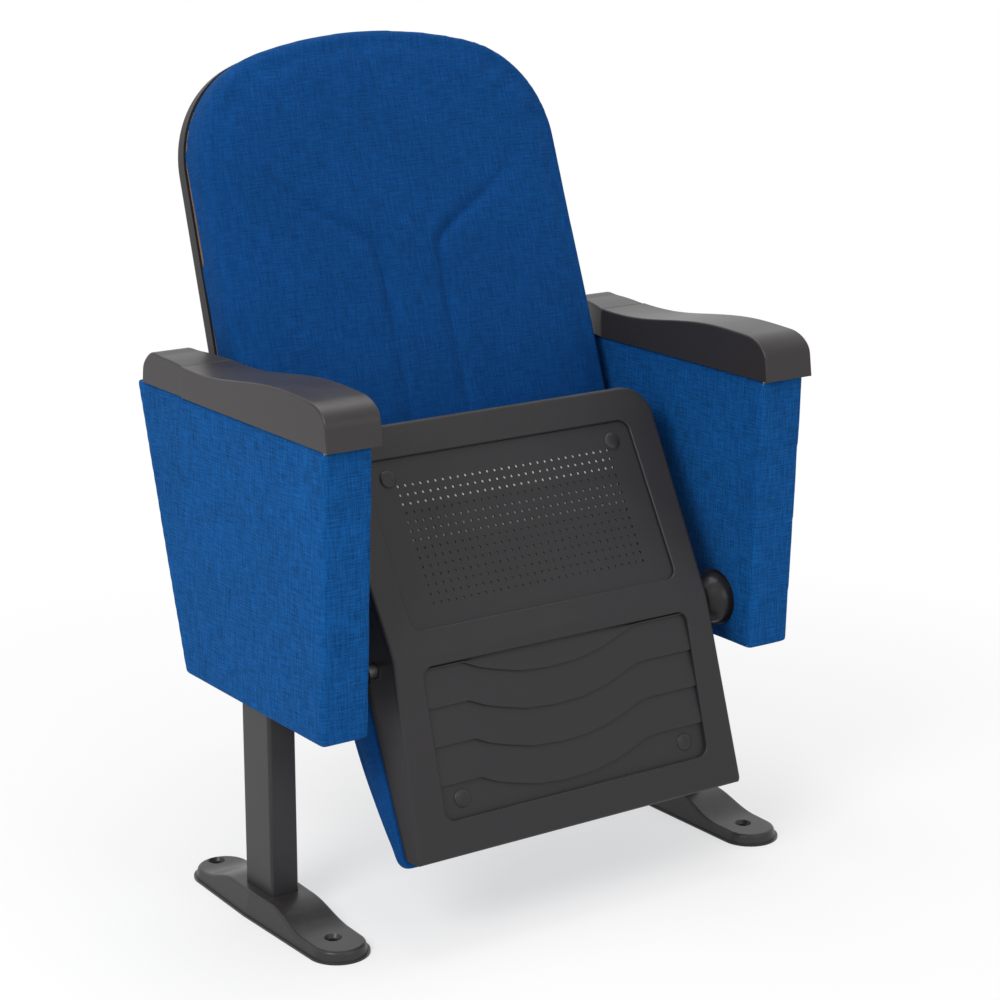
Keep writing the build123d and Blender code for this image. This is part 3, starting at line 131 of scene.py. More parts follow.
def piece_from(bm: BMesh, name: str, smooth_angle: float = 40) -> Object:
    """Makes an object of a bmesh, shaded smooth but for edges sharper than the angle.

    Args:
        bm: The mesh, in the frame's own place. It is freed.
        name: Name of the new piece.
        smooth_angle: Largest angle between two faces that still shades smooth, in degrees.

    Returns:
        The new object, at the origin.
    """
    mesh = bpy.data.meshes.new(name)
    bm.to_mesh(mesh)
    bm.free()
    mesh.shade_smooth()
    mesh.set_sharp_from_angle(angle=math.radians(smooth_angle))
    piece = bpy.data.objects.new(name, mesh)
    bpy.context.scene.collection.objects.link(piece)
    return piece


def dress(piece: Object, material: Material, body: Body, replaced: Sequence[str] = ()) -> Object:
    """Gives a piece its material and body, and hides the CAD nodes that it replaces.

    Args:
        piece: The finished piece.
        material: Its material.
        body: The body it rides on.
        replaced: CAD nodes that it replaces.

    Returns:
        The same piece.
    """
    piece.data.materials.clear()
    piece.data.materials.append(material)
    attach(piece, body.value)
    if replaced:
        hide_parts(*replaced)
    LOG.info("%s rides on %s, %d faces", piece.name, body.value, len(piece.data.polygons))
    return piece


def round_edges(bm: BMesh, edges: Sequence[BMEdge], radius: float, segments: int) -> None:
    """Rounds edges of a mesh.

    Args:
        bm: The mesh.
        edges: The edges to round.
        radius: Width of the rounding on each side of an edge.
        segments: Faces across the rounding.
    """
    width = {"offset": radius, "segments": segments, "profile": 0.5}
    bmesh.ops.bevel(bm, geom=edges, affect="EDGES", material=-1, **width)


def give_wall(piece: Object, thickness: float, smooth_angle: float) -> None:
    """Gives a thin piece its wall, behind its faces.

    Args:
        piece: The piece.
        thickness: Thickness of the wall.
        smooth_angle: Largest angle between two faces that still shades smooth, in degrees.
    """
    wall = piece.modifiers.new("wall", "SOLIDIFY")
    wall.thickness = thickness
    wall.offset = -1
    settle(piece, smooth_angle)


def remeshed(piece: Object, voxel: float) -> None:
    """Rebuilds a closed piece as an even grid of small faces.

    Args:
        piece: The piece, whose mesh is replaced.
        voxel: Size of the faces.
    """
    remesh = piece.modifiers.new("even_faces", "REMESH")
    remesh.mode = "VOXEL"
    remesh.voxel_size = voxel
    remesh.use_smooth_shade = True
    settle(piece)


def settle(piece: Object, smooth_angle: float = 180) -> None:
    """Applies all the modifiers of a piece to its mesh.

    Args:
        piece: The piece.
        smooth_angle: Largest angle between two faces that still shades smooth, in degrees.
    """
    depsgraph = bpy.context.evaluated_depsgraph_get()
    depsgraph.update()
    mesh = bpy.data.meshes.new_from_object(piece.evaluated_get(depsgraph))
    piece.modifiers.clear()
    old = piece.data
    piece.data = mesh
    bpy.data.meshes.remove(old)
    if smooth_angle < 180:
        mesh.set_sharp_from_angle(angle=math.radians(smooth_angle))


def reshape(piece: Object, move: Callable[[Vector, Vector], Vector]) -> None:
    """Moves each vertex of a piece by a rule.

    Args:
        piece: The piece.
        move: Takes a vertex's place and normal, and gives its new place.
    """
    places = [move(vertex.co.copy(), vertex.normal.copy()) for vertex in piece.data.vertices]
    for vertex, place in zip(piece.data.vertices, places):
        vertex.co = place
    piece.data.update()


@dataclass(frozen=True)
class Filling:
    """How a fabric cover is blown up over its foam.

    Attributes:
        pressure: Pressure inside the cloth.
        frames: Frames that the cloth is left to settle.
        cap: The furthest that a point may move.
        give: The furthest that a point may sink, because foam fills the cover to its sides.
        quality: Steps of the simulation in each frame.
        mass: Mass of each point, in kg.
        stiffness: How hard the cloth is to stretch or press together.
        bending: How hard it is to bend.
    """

    pressure: float = 4.0
    frames: int = 20
    cap: float = 6 * MM
    give: float = 0.3 * MM
    quality: int = 4
    mass: float = 0.3
    stiffness: float = 30
    bending: float = 2

    def blow_up(self, piece: Object, held: Callable[[Vector], float]) -> None:
        """Simulates the cover as cloth and keeps its new shape.

        Args:
            piece: The cover, already an even grid of faces.
            held: Gives from 0, free, to 1, held, for a point of the cover.
        """
        before = [vertex.co.copy() for vertex in piece.data.vertices]
        group = piece.vertex_groups.new(name="held")
        for index, place in enumerate(before):
            group.add([index], held(place), "REPLACE")
        cloth = piece.modifiers.new("cover", "CLOTH")
        settings = cloth.settings
        settings.quality = self.quality
        settings.mass = self.mass
        settings.tension_stiffness = self.stiffness
        settings.compression_stiffness = self.stiffness
        settings.bending_stiffness = self.bending
        settings.use_pressure = True
        settings.uniform_pressure_force = self.pressure
        settings.vertex_group_mass = group.name
        settings.effector_weights.gravity = 0
        cloth.collision_settings.use_collision = False
        scene = bpy.context.scene
        scene.frame_start = 1
        scene.frame_end = self.frames
        for frame in range(1, self.frames + 1):
            scene.frame_set(frame)
        depsgraph = bpy.context.evaluated_depsgraph_get()
        blown = piece.evaluated_get(depsgraph).data
        after = [vertex.co.copy() for vertex in blown.vertices]
        normals = [vertex.normal.copy() for vertex in piece.data.vertices]
        piece.modifiers.clear()
        piece.vertex_groups.clear()
        for vertex, start, end, normal in zip(piece.data.vertices, before, after, normals):
            step = end - start
            step += normal * max(0.0, -self.give - step.dot(normal))
            if step.length > self.cap:
                step *= self.cap / step.length
            vertex.co = start + step
        piece.data.update()
        scene.frame_set(1)


def subdivided(piece: Object) -> None:
    """Smooths a simulated piece by one level of subdivision."""
    surface = piece.modifiers.new("smooth", "SUBSURF")
    surface.levels = surface.render_levels = 1
    settle(piece)
    piece.data.shade_smooth()


def arc(middle: Vector, radius: float, start: float, end: float, steps: int) -> list[Vector]:
    """Points of an arc in a plane.

    Args:
        middle: The arc's middle, across and up.
        radius: Its radius.
        start: Angle of its first point, in degrees from straight across.
        end: Angle of its last point.
        steps: Stretches between its points.

    Returns:
        The points, from the first to the last.
    """
    angles = [math.radians(start + (end - start) * step / steps) for step in range(steps + 1)]
    return [middle + radius * Vector((math.cos(angle), math.sin(angle))) for angle in angles]


def distance_to_path(point: Vector, path: Sequence[Vector]) -> tuple[float, float]:
    """How far a point is from a path, and how far along the path its nearest place is.

    Args:
        point: A point in the path's plane.
        path: The path's points.

    Returns:
        The distance, and the share of the path's points passed, from 0 to 1.
    """
    best, share = math.inf, 0.0
    for index in range(len(path) - 1):
        start, step = path[index], path[index + 1] - path[index]
        along = max(0.0, min(1.0, (point - start).dot(step) / step.length_squared))
        distance = (point - start - step * along).length
        if distance < best:
            best, share = distance, (index + along) / (len(path) - 1)
    return best, share


def smooth_path(corners: Sequence[tuple[float, float]], steps: int = 8) -> list[Vector]:
    """A smooth line through a few points.

    Args:
        corners: The points, each across and up.
        steps: Points on each stretch.

    Returns:
        Points of a Catmull-Rom line through the corners.
    """
    points = [Vector(corner) for corner in corners]
    padded = [2 * points[0] - points[1], *points, 2 * points[-1] - points[-2]]
    line = []
    for before, start, end, after in zip(padded, padded[1:], padded[2:], padded[3:]):
        for step in range(steps):
            t = step / steps
            line.append(
                0.5 * ((2 * start) + (end - before) * t + (2 * before - 5 * start + 4 * end - after) * t * t
                       + (3 * start - before - 3 * end + after) * t ** 3)
            )
    line.append(points[-1])
    return line


# ---------------------------------------------------------------- finishes


PANEL_BLUE = (12, 73, 132)
# The cushions' blue is a darker copy of the panels' blue for the same cloth: painted shade for the less lit
# cushions.
SHADED_CUSHION_BLUE = (9, 62, 118)
CHARCOAL = (37, 35, 37)
DUST = (150, 146, 140)
PALE_STEEL = (220, 218, 214)
GREY_STEEL = (180, 178, 174)


def linear(colour: Sequence[int]) -> tuple[float, float, float, float]:
    """A colour of 0 to 255 as seen on a screen, in the shader's own values."""
    shares = [value / 255 for value in colour]
    return (*[v / 12.92 if v <= 0.04045 else ((v + 0.055) / 1.055) ** 2.4 for v in shares], 1.0)


class Sheet:
    """A node tree, with short ways to add nodes and join them."""

    def __init__(self, tree: NodeTree) -> None:
        """Starts on an empty tree."""
        self.tree = tree
        tree.nodes.clear()

    def add(self, kind: str, inputs: dict[object, object] | None = None, **settings: object) -> Node:
        """Adds a node with the settings given, and with values or sockets for its inputs."""
        node = self.tree.nodes.new(kind)
        for name, value in settings.items():
            setattr(node, name, value)
        self.fill(node, inputs or {})
        return node

    def fill(self, node: Node, inputs: dict[object, object]) -> None:
        """Gives inputs of a node, by name or number, their values or sockets."""
        for name, value in inputs.items():
            self.feed(node.inputs[name], value)

    def feed(self, socket: NodeSocket, value: object) -> None:
        """Joins a socket to another socket, or gives it a plain value."""
        if isinstance(value, NodeSocket):
            self.tree.links.new(value, socket)
        else:
            socket.default_value = value

    def math(self, operation: str, *values: object) -> NodeSocket:
        """Result of a Math node on sockets or numbers."""
        return self.add("ShaderNodeMath", dict(enumerate(values)), operation=operation).outputs[0]

    def weighed(self, first: object, much: float, second: object, more: float) -> NodeSocket:
        """Sum of two values, each times its weight."""
        return self.math("ADD", self.math("MULTIPLY", first, much), self.math("MULTIPLY", second, more))

    def between(self, value: object, low: float, high: float, to: Sequence[float] = (0, 1)) -> NodeSocket:
        """Maps a value from one range to another, held at the ends."""
        names = ("Value", "From Min", "From Max", "To Min", "To Max")
        inputs = dict(zip(names, (value, low, high, *to)))
        return self.add("ShaderNodeMapRange", inputs, clamp=True).outputs[0]

    def vector(self, x: object, y: object, z: object) -> NodeSocket:
        """A vector of three sockets or numbers."""
        return self.add("ShaderNodeCombineXYZ", {0: x, 1: y, 2: z}).outputs[0]

    def split(self, vector: object) -> Sequence[NodeSocket]:
        """The three parts of a vector."""
        return self.add("ShaderNodeSeparateXYZ", {0: vector}).outputs

    def noise(self, vector: object, scale: object, detail: float = 2, roughness: float = 0.5) -> NodeSocket:
        """Value of a Noise texture."""
        inputs = {"Vector": vector, "Scale": scale, "Detail": detail, "Roughness": roughness}
        return self.add("ShaderNodeTexNoise", inputs).outputs["Fac"]

    def mix(self, share: object, first: object, second: object, blend: str = "MIX") -> NodeSocket:
        """Mix of two colours."""
        inputs = {0: share, 6: first, 7: second}
        return self.add("ShaderNodeMix", inputs, data_type="RGBA", blend_type=blend).outputs[2]

    def group(self, tree: NodeTree, **values: object) -> Node:
        """Places a node group, with values or sockets for its inputs."""
        return self.add("ShaderNodeGroup", values, node_tree=tree)

    def bump(self, height: object, strength: float, distance: float) -> NodeSocket:
        """Normal of a Bump node."""
        inputs = {"Strength": strength, "Distance": distance, "Height": height}
        return self.add("ShaderNodeBump", inputs).outputs["Normal"]


def new_group(name: str, inputs: dict[str, object], outputs: Sequence[str]) -> tuple[Sheet, Node, Node]:
    """Starts a shader node group.

    Args:
        name: Name of the group.
        inputs: Input names with their usual values. A value of None makes a vector input.
        outputs: Names of its outputs, each a single value.

    Returns:
        The sheet to draw on, and the nodes that hold the inputs and the outputs.
    """
    tree = bpy.data.node_groups.new(name, "ShaderNodeTree")
    sheet = Sheet(tree)
    for label, value in inputs.items():
        kind = "NodeSocketVector" if value is None else "NodeSocketFloat"
        socket = tree.interface.new_socket(name=label, in_out="INPUT", socket_type=kind)
        if value is not None:
            socket.default_value = value
    for label in outputs:
        tree.interface.new_socket(name=label, in_out="OUTPUT", socket_type="NodeSocketFloat")
    return sheet, sheet.add("NodeGroupInput"), sheet.add("NodeGroupOutput")


class SharedEffects:
    """Node groups that several finishes use: the weave, a moulded grain, edge wear and settled dust."""

    def __init__(self) -> None:
        """Draws each group once."""
        self.weave = self._weave()
        self.grain = self._grain()
        self.wear = self._wear()
        self.dust = self._dust()

    @staticmethod
    def _weave() -> NodeTree:
        """Plain weave of uneven threads, from a place given across, up and out of the cloth."""
        sheet, given, result = new_group("weave", {"Vector": None, "Pitch": 1.3 * MM}, ("Shade", "Height"))
        across, up, out = sheet.split(given.outputs["Vector"])
        pitch = given.outputs["Pitch"]
        u = sheet.math("DIVIDE", sheet.math("ADD", across, out), pitch)
        v = sheet.math("DIVIDE", up, pitch)
        crossing = sheet.math(
            "MULTIPLY", sheet.math("SINE", sheet.math("MULTIPLY", u, math.pi)),
            sheet.math("SINE", sheet.math("MULTIPLY", v, math.pi)),
        )
        # Thread noise drawn out along the thread, at its own depth for warp, weft and fuzz.
        drawn_out, warp_depth, weft_depth, fuzz_depth = 0.07, 3.1, 7.7, 1.7
        warp = sheet.noise(sheet.vector(u, sheet.math("MULTIPLY", v, drawn_out), warp_depth), 0.9, 1)
        weft = sheet.noise(sheet.vector(sheet.math("MULTIPLY", u, drawn_out), v, weft_depth), 0.9, 1)
        fuzz = sheet.noise(sheet.vector(u, v, fuzz_depth), 1.6, 3, 0.7)
        mixed = sheet.weighed(sheet.weighed(warp, 0.5, weft, 0.5), 0.6, fuzz, 0.4)
        rise = sheet.math("MULTIPLY", crossing, 0.12)
        shade = sheet.between(sheet.math("ADD", mixed, rise), 0.3, 0.7)
        sheet.fill(result, {"Shade": shade, "Height": sheet.weighed(crossing, 0.35, mixed, 0.9)})
        return sheet.tree

    @staticmethod
    def _grain() -> NodeTree:
        """Fine leathery grain of a moulding, with a slow mottle."""
        inputs = {"Vector": None, "Size": 0.9 * MM}
        sheet, given, result = new_group("moulded_grain", inputs, ("Height", "Mottle"))
        place, scale = given.outputs["Vector"], sheet.math("DIVIDE", 1.0, given.outputs["Size"])
        cells = sheet.add("ShaderNodeTexVoronoi", {"Vector": place, "Scale": scale}, feature="SMOOTH_F1")
        fine = sheet.noise(place, scale, 3, 0.6)
        height = sheet.weighed(cells.outputs["Distance"], 0.6, fine, 0.6)
        mottle = sheet.between(sheet.noise(place, 14, 4, 0.6), 0.35, 0.65)
        sheet.fill(result, {"Height": height, "Mottle": mottle})
        return sheet.tree

    @staticmethod
    def _patchy(sheet: Sheet, given: Node, place: NodeSocket, patches: NodeSocket) -> NodeSocket:
        """Mask of the places given, broken up by patches, times the group's amount."""
        return sheet.math("MULTIPLY", sheet.math("MULTIPLY", place, patches), given.outputs["Amount"])

    @staticmethod
    def _wear() -> NodeTree:
        """Mask of rubbed outer edges, broken up by noise."""
        sheet, given, result = new_group("edge_wear", {"Vector": None, "Amount": 0.5}, ("Mask",))
        edge = sheet.between(sheet.add("ShaderNodeNewGeometry").outputs["Pointiness"], 0.51, 0.60)
        patchy = sheet.between(sheet.noise(given.outputs["Vector"], 60, 4, 0.6), 0.35, 0.75)
        sheet.feed(result.inputs["Mask"], SharedEffects._patchy(sheet, given, edge, patchy))
        return sheet.tree

    @staticmethod
    def _dust() -> NodeTree:
        """Mask of faint dust on faces that look up."""
        sheet, given, result = new_group("settled_dust", {"Vector": None, "Amount": 0.1}, ("Mask",))
        normal = sheet.add("ShaderNodeNewGeometry").outputs["Normal"]
        upward = sheet.between(sheet.split(normal)[2], 0.4, 1.0)
        patchy = sheet.between(sheet.noise(given.outputs["Vector"], 25, 5, 0.65), 0.3, 0.8)
        sheet.feed(result.inputs["Mask"], SharedEffects._patchy(sheet, given, upward, patchy))
        return sheet.tree


def shaded(tone: Sequence[float], share: float) -> tuple[float, ...]:
    """A shader colour made lighter or darker by a share of itself."""
    return tuple(min(1.0, value * share) for value in tone[:3]) + (1.0,)


def started_material(name: str, colour: Sequence[int]) -> tuple[Sheet, Node, Material]:
    """Starts a material with a Principled BSDF joined to its output.

    Args:
        name: Name of the material.
        colour: Its colour, 0 to 255.

    Returns:
        The sheet to draw on, the shader and the material.
    """
    material = bpy.data.materials.new(name)
    material.use_nodes = True
    material.diffuse_color = linear(colour)
    sheet = Sheet(material.node_tree)
    shader = sheet.add("ShaderNodeBsdfPrincipled")
    sheet.add("ShaderNodeOutputMaterial", {"Surface": shader.outputs["BSDF"]})
    return sheet, shader, material


@dataclass(frozen=True)
class Upholstery:
    """Woven blue seat cloth.

    Attributes:
        name: Name of the material.
        colour: Its colour, 0 to 255.
        lean: Lean of the cloth's face from upright, in degrees, so that its threads run up and across it.
        pitch: Distance between threads.
        contrast: How far the threads differ in shade.
        specular: Strength of its plain shine.
        sheen: Strength of the shine of its fuzz.
        sheen_roughness: Roughness of the fuzz.
        sheen_tint: Colour of the fuzz, in the shader's own values.
        relief: Strength of the weave's bumps.
        thread_height: Height of the weave's bumps.
    """

    name: str
    colour: tuple[int, int, int]
    lean: float = 0.0
    pitch: float = 1.5 * MM
    contrast: float = 0.5
    specular: float = 0.08
    sheen: float = 0.05
    sheen_roughness: float = 0.45
    sheen_tint: tuple[float, float, float, float] = (0.1, 0.5, 1.0, 1.0)
    relief: float = 0.55
    thread_height: float = 0.5 * MM

    def material(self, effects: SharedEffects) -> Material:
        """Builds the cloth's material."""
        sheet, shader, material = started_material(self.name, self.colour)
        place = sheet.add("ShaderNodeTexCoord").outputs["Object"]
        turned = {"Rotation": (math.radians(self.lean - 90), 0, 0), "Vector": place}
        threads = sheet.add("ShaderNodeMapping", turned, vector_type="POINT").outputs[0]
        weave = sheet.group(effects.weave, Vector=threads, Pitch=self.pitch)
        tone = linear(self.colour)
        dark, light = shaded(tone, 1 - self.contrast), shaded(tone, 1 + self.contrast)
        cloth = sheet.mix(weave.outputs["Shade"], dark, light)
        slow = sheet.between(sheet.noise(place, 9, 3, 0.6), 0.3, 0.7, (0.93, 1.05))
        sheet.fill(shader, {
            "Base Color": sheet.mix(1.0, cloth, sheet.vector(slow, slow, slow), "MULTIPLY"),
            "Roughness": sheet.between(weave.outputs["Shade"], 0, 1, (0.95, 0.8)),
            "Specular IOR Level": self.specular,
            "Sheen Weight": self.sheen,
            "Sheen Roughness": self.sheen_roughness,
            "Sheen Tint": self.sheen_tint,
            "Normal": sheet.bump(weave.outputs["Height"], self.relief, self.thread_height),
        })
        return material


@dataclass(frozen=True)
class Moulding:
    """Moulded or powder-coated surface with a fine grain.

    Attributes:
        name: Name of the material.
        colour: Its colour, 0 to 255.
        worn: Colour of rubbed edges, 0 to 255.
        roughness: Roughness between the grain's dips.
        grain: Size of the grain.
        relief: Strength of the grain.
        wear: Amount of edge wear.
        metallic: How metallic it is.
        coat: Weight of a clear coat.
        specular: Strength of its plain shine.
        dust: Amount of settled dust.
        grain_height: Height of the grain.
    """

    name: str
    colour: tuple[int, int, int]
    worn: tuple[int, int, int] = (120, 117, 118)
    roughness: float = 0.45
    grain: float = 0.9 * MM
    relief: float = 0.25
    wear: float = 0.0
    metallic: float = 0.0
    coat: float = 0.0
    specular: float = 0.3
    dust: float = 0.08
    grain_height: float = 0.2 * MM

    def material(self, effects: SharedEffects) -> Material:
        """Builds the moulding's material."""
        sheet, shader, material = started_material(self.name, self.colour)
        place = sheet.add("ShaderNodeTexCoord").outputs["Object"]
        grain = sheet.group(effects.grain, Vector=place, Size=self.grain)
        wear = sheet.group(effects.wear, Vector=place, Amount=self.wear)
        dust = sheet.group(effects.dust, Vector=place, Amount=self.dust)
        tone = linear(self.colour)
        base = sheet.mix(grain.outputs["Mottle"], shaded(tone, 0.97), shaded(tone, 1.04))
        rubbed = sheet.mix(wear.outputs["Mask"], base, linear(self.worn))
        spread = (self.roughness - 0.015, self.roughness + 0.02)
        sheet.fill(shader, {
            "Base Color": sheet.mix(dust.outputs["Mask"], rubbed, linear(DUST)),
            "Roughness": sheet.between(grain.outputs["Mottle"], 0, 1, spread),
            "Metallic": self.metallic,
            "Coat Weight": self.coat,
            "Specular IOR Level": self.specular,
            "Normal": sheet.bump(grain.outputs["Height"], self.relief, self.grain_height),
        })
        return material


@dataclass(frozen=True)
class Plywood:
    """Plain plywood, with its grain along Z.

    Attributes:
        name: Name of the material.
        colour: Its colour, 0 to 255.
    """

    name: str
    colour: tuple[int, int, int] = (178, 140, 96)

    def material(self, effects: SharedEffects) -> Material:
        """Builds the plywood's material."""
        sheet, shader, material = started_material(self.name, self.colour)
        place = sheet.add("ShaderNodeTexCoord").outputs["Object"]
        stretched = sheet.add("ShaderNodeMapping", {"Scale": (60, 60, 4), "Vector": place}).outputs[0]
        rings = sheet.between(sheet.noise(stretched, 1.0, 4, 0.6), 0.3, 0.7)
        tone = linear(self.colour)
        grain = sheet.group(effects.grain, Vector=place, Size=0.6 * MM)
        sheet.fill(shader, {
            "Base Color": sheet.mix(rings, shaded(tone, 0.7), tone),
            "Roughness": 0.7,
            "Normal": sheet.bump(grain.outputs["Height"], 0.2, 0.2 * MM),
        })
        return material


@dataclass
class FinishRack:
    """Every finish of the seat, under the record's slot names.

    Attributes:
        effects: Node groups that the finishes share.
        back_lean: Lean of the backrest's cloth.
        seat_lean: Lean of the seat's cloth.
    """

    effects: SharedEffects = field(default_factory=SharedEffects)
    back_lean: float = 19.04
    seat_lean: float = 27.3

    def build(self) -> dict[str, Material]:
        """Builds every material.

        Returns:
            Materials by slot name.
        """
        finishes = (
            Upholstery("panel_fabric", PANEL_BLUE, contrast=0.7),
            # The cushions take the darker copy of the panel cloth's blue: painted shade.
            Upholstery("back_fabric", SHADED_CUSHION_BLUE, lean=self.back_lean),
            Upholstery("seat_fabric", SHADED_CUSHION_BLUE, lean=self.seat_lean),
            Moulding("moulded_shell", CHARCOAL, roughness=0.5),
            Moulding("screw_cap", (33, 31, 32), roughness=0.42, wear=0.3),
            Moulding("arm_plastic", (46, 43, 43), roughness=0.36),
            Moulding("dome_plastic", (20, 19, 20), roughness=0.36, coat=0.1),
            Moulding("foot_cover", (42, 40, 41), roughness=0.38, grain=0.6 * MM, relief=0.15, coat=0.1),
            Moulding("leg_paint", (45, 43, 45), roughness=0.4, grain=0.6 * MM, relief=0.12),
            Moulding("frame_steel", (40, 40, 42), roughness=0.5, relief=0.12),
            Moulding("pivot_steel", (190, 188, 184), PALE_STEEL, 0.3, relief=0.05, metallic=1.0),
            Moulding("spring_steel", (130, 128, 126), GREY_STEEL, 0.3, relief=0.05, metallic=1.0),
            Moulding("screw_steel", GREY_STEEL, PALE_STEEL, 0.32, relief=0.05, metallic=1.0),
            Plywood("plywood"),
            Moulding("bush_plastic", (205, 203, 192), (220, 218, 208), 0.5),
            Moulding("stop_rubber", (28, 28, 28), (60, 60, 60), 0.75),
            # The three felt tones paint what shows through the vent's holes: pale is painted light, grey is
            # dimmer painted light, dark is painted shade.
            Moulding("painted_light_felt", (236, 236, 234), (236, 236, 234), 0.95),
            Moulding("dim_painted_light_felt", (150, 150, 152), (150, 150, 152), 0.95),
            Moulding("painted_shade_felt", (92, 90, 92), (92, 90, 92), 0.95),
        )
        return {finish.name: finish.material(self.effects) for finish in finishes}


# ---------------------------------------------------------------- sub-assemblies


@dataclass
class Backrest:
    """Padded backrest: a crowned cushion with rounded shoulders and two pulled seams.

    Attributes:
        face: The plane of the cushion's back.
        half_width: Half its width near the bottom.
        shoulder: Half its width where the top corners start.
        shoulder_height: Height where the top corners start.
        corner: Radius of the top corners.
        corner_turn: Turn of the top corners, in degrees, before the flatter top takes over.
        top: Height of the middle of the top.
        bottom: Reach below the face's origin.
        bottom_corner: Radius of the bottom corners.
        edge_depth: Thickness at the sides.
        crown: Extra thickness in the middle.
        edge_radius: Radius of the front edges.
        tuck: How far the cover draws in where it meets the shell.
        tuck_reach: How far in front of the shell it draws in.
        held_depth: Depth of the strip that is fixed to the board.
        swell: The furthest that the filling pushes the cover.
        voxel: Size of the cover's faces.
        seam_depth: Depth of the pulled seams.
        seam_width: Half the width of their valleys.
        crease: Width of the crease in a valley, as a share of it.
        seam: Points of the right seam, across and up, from its top.
    """

    face: Slant = Slant(181.2 * MM, 621.6 * MM, 19.04)
    half_width: float = 255 * MM
    shoulder: float = 245 * MM
    shoulder_height: float = 189 * MM
    corner: float = 134 * MM
    corner_turn: float = 75
    top: float = 337 * MM
    bottom: float = 252 * MM
    bottom_corner: float = 30 * MM
    edge_depth: float = 48 * MM
    crown: float = 4 * MM
    edge_radius: float = 12 * MM
    tuck: float = 1.5 * MM
    tuck_reach: float = 12 * MM
    held_depth: float = 6 * MM
    swell: float = 5 * MM
    voxel: float = 5.5 * MM
    seam_depth: float = 6.0 * MM
    seam_width: float = 8.5 * MM
    crease: float = 0.28
    seam: tuple[tuple[float, float], ...] = (
        (0.184, 0.181), (0.160, 0.161), (0.132, 0.138), (0.097, 0.1155), (0.067, 0.097), (0.047, 0.080),
        (0.041, 0.055), (0.040, 0.015), (0.040, -0.030), (0.040, -0.100), (0.040, -0.200),
    )

    def __post_init__(self) -> None:
        """Works out the right seam's smooth line."""
        self.seam_line = smooth_path(self.seam)

    def outline(self, steps: int = 14) -> list[Vector]:
        """Points of the outline, across and up, from the middle of the bottom round by the right."""
        low = self.bottom_corner
        right = [Vector((0, -self.bottom)), Vector((0.5 * self.half_width, -self.bottom))]
        right += arc(Vector((self.half_width - low, -self.bottom + low)), low, -90, 0, steps // 2)
        top_corner = Vector((self.shoulder - self.corner, self.shoulder_height))
        right += arc(top_corner, self.corner, 0, self.corner_turn, steps)
        end = right[-1]
        sag = self.top - end.y
        radius = (end.x ** 2 + sag ** 2) / (2 * sag)
        sweep = math.asin(end.x / radius)
        for step in range(1, steps + 1):
            angle = sweep * (1 - step / steps)
            right.append(Vector((radius * math.sin(angle), self.top - radius * (1 - math.cos(angle)))))
        left = [Vector((-point.x, point.y)) for point in reversed(right[1:-1])]
        return right + left

    def build(self, material: Material) -> Object:
        """Builds the cushion.

        Args:
            material: Its cloth.

        Returns:
            The finished cushion, which stands for the plain solid.
        """
        bm = bmesh.new()
        rim = [bm.verts.new((point.x, point.y, 0)) for point in self.outline()]
        base = bm.faces.new(rim)
        pushed = bmesh.ops.extrude_face_region(bm, geom=[base])
        front = [item for item in pushed["geom"] if isinstance(item, BMVert)]
        bmesh.ops.translate(bm, vec=(0, 0, self.edge_depth), verts=front)
        front_edges = [edge for edge in bm.edges if all(vertex in front for vertex in edge.verts)]
        round_edges(bm, front_edges, self.edge_radius, segments=5)
        bmesh.ops.recalc_face_normals(bm, faces=bm.faces)
        piece = piece_from(bm, "back_cushion_cover")
        remeshed(piece, self.voxel)
        reshape(piece, self._crowned)
        Filling(cap=self.swell).blow_up(piece, lambda place: 1.0 if place.z < self.held_depth else 0.0)
        subdivided(piece)
        reshape(piece, self._seamed)
        piece.data.transform(self.face.matrix())
        dress(piece, material, Body.ROOT, ("back_cushion",))
        return piece

    def _crowned(self, place: Vector, normal: Vector) -> Vector:
        """Raises the front to its crown and tucks the cover in where it meets the shell."""
        front = max(0.0, place.z / self.edge_depth)
        across = min(1.0, abs(place.x) / self.half_width)
        middle = 0.5 * (self.top - self.bottom)
        upward = min(1.0, abs(place.y - middle) / (self.top - middle))
        rise = self.crown * (1 - across ** 2) * (1 - 0.6 * upward ** 4) * front
        tuck = self.tuck * max(0.0, 1 - place.z / self.tuck_reach) ** 2
        flat = Vector((normal.x, normal.y, 0))
        inward = flat.normalized() * tuck if flat.length > 0.3 else Vector((0, 0, 0))
        return Vector((place.x - inward.x, place.y - inward.y, place.z + rise))

    def _seamed(self, place: Vector, normal: Vector) -> Vector:
        """Presses the two pulled seams into the front of the cushion."""
        if place.z < 0.4 * self.edge_depth:
            return place
        distance, share = distance_to_path(Vector((abs(place.x), place.y)), self.seam_line)
        fade_in, fade_out = min(1.0, 0.08 + 2.2 * share), min(1.0, 3 * (1 - share) + 0.15)
        valley = math.exp(-((distance / self.seam_width) ** 2))
        crease = math.exp(-((distance / (self.crease * self.seam_width)) ** 2))
        place.z -= self.seam_depth * fade_in * fade_out * (0.75 * valley + 0.25 * crease)
        return place


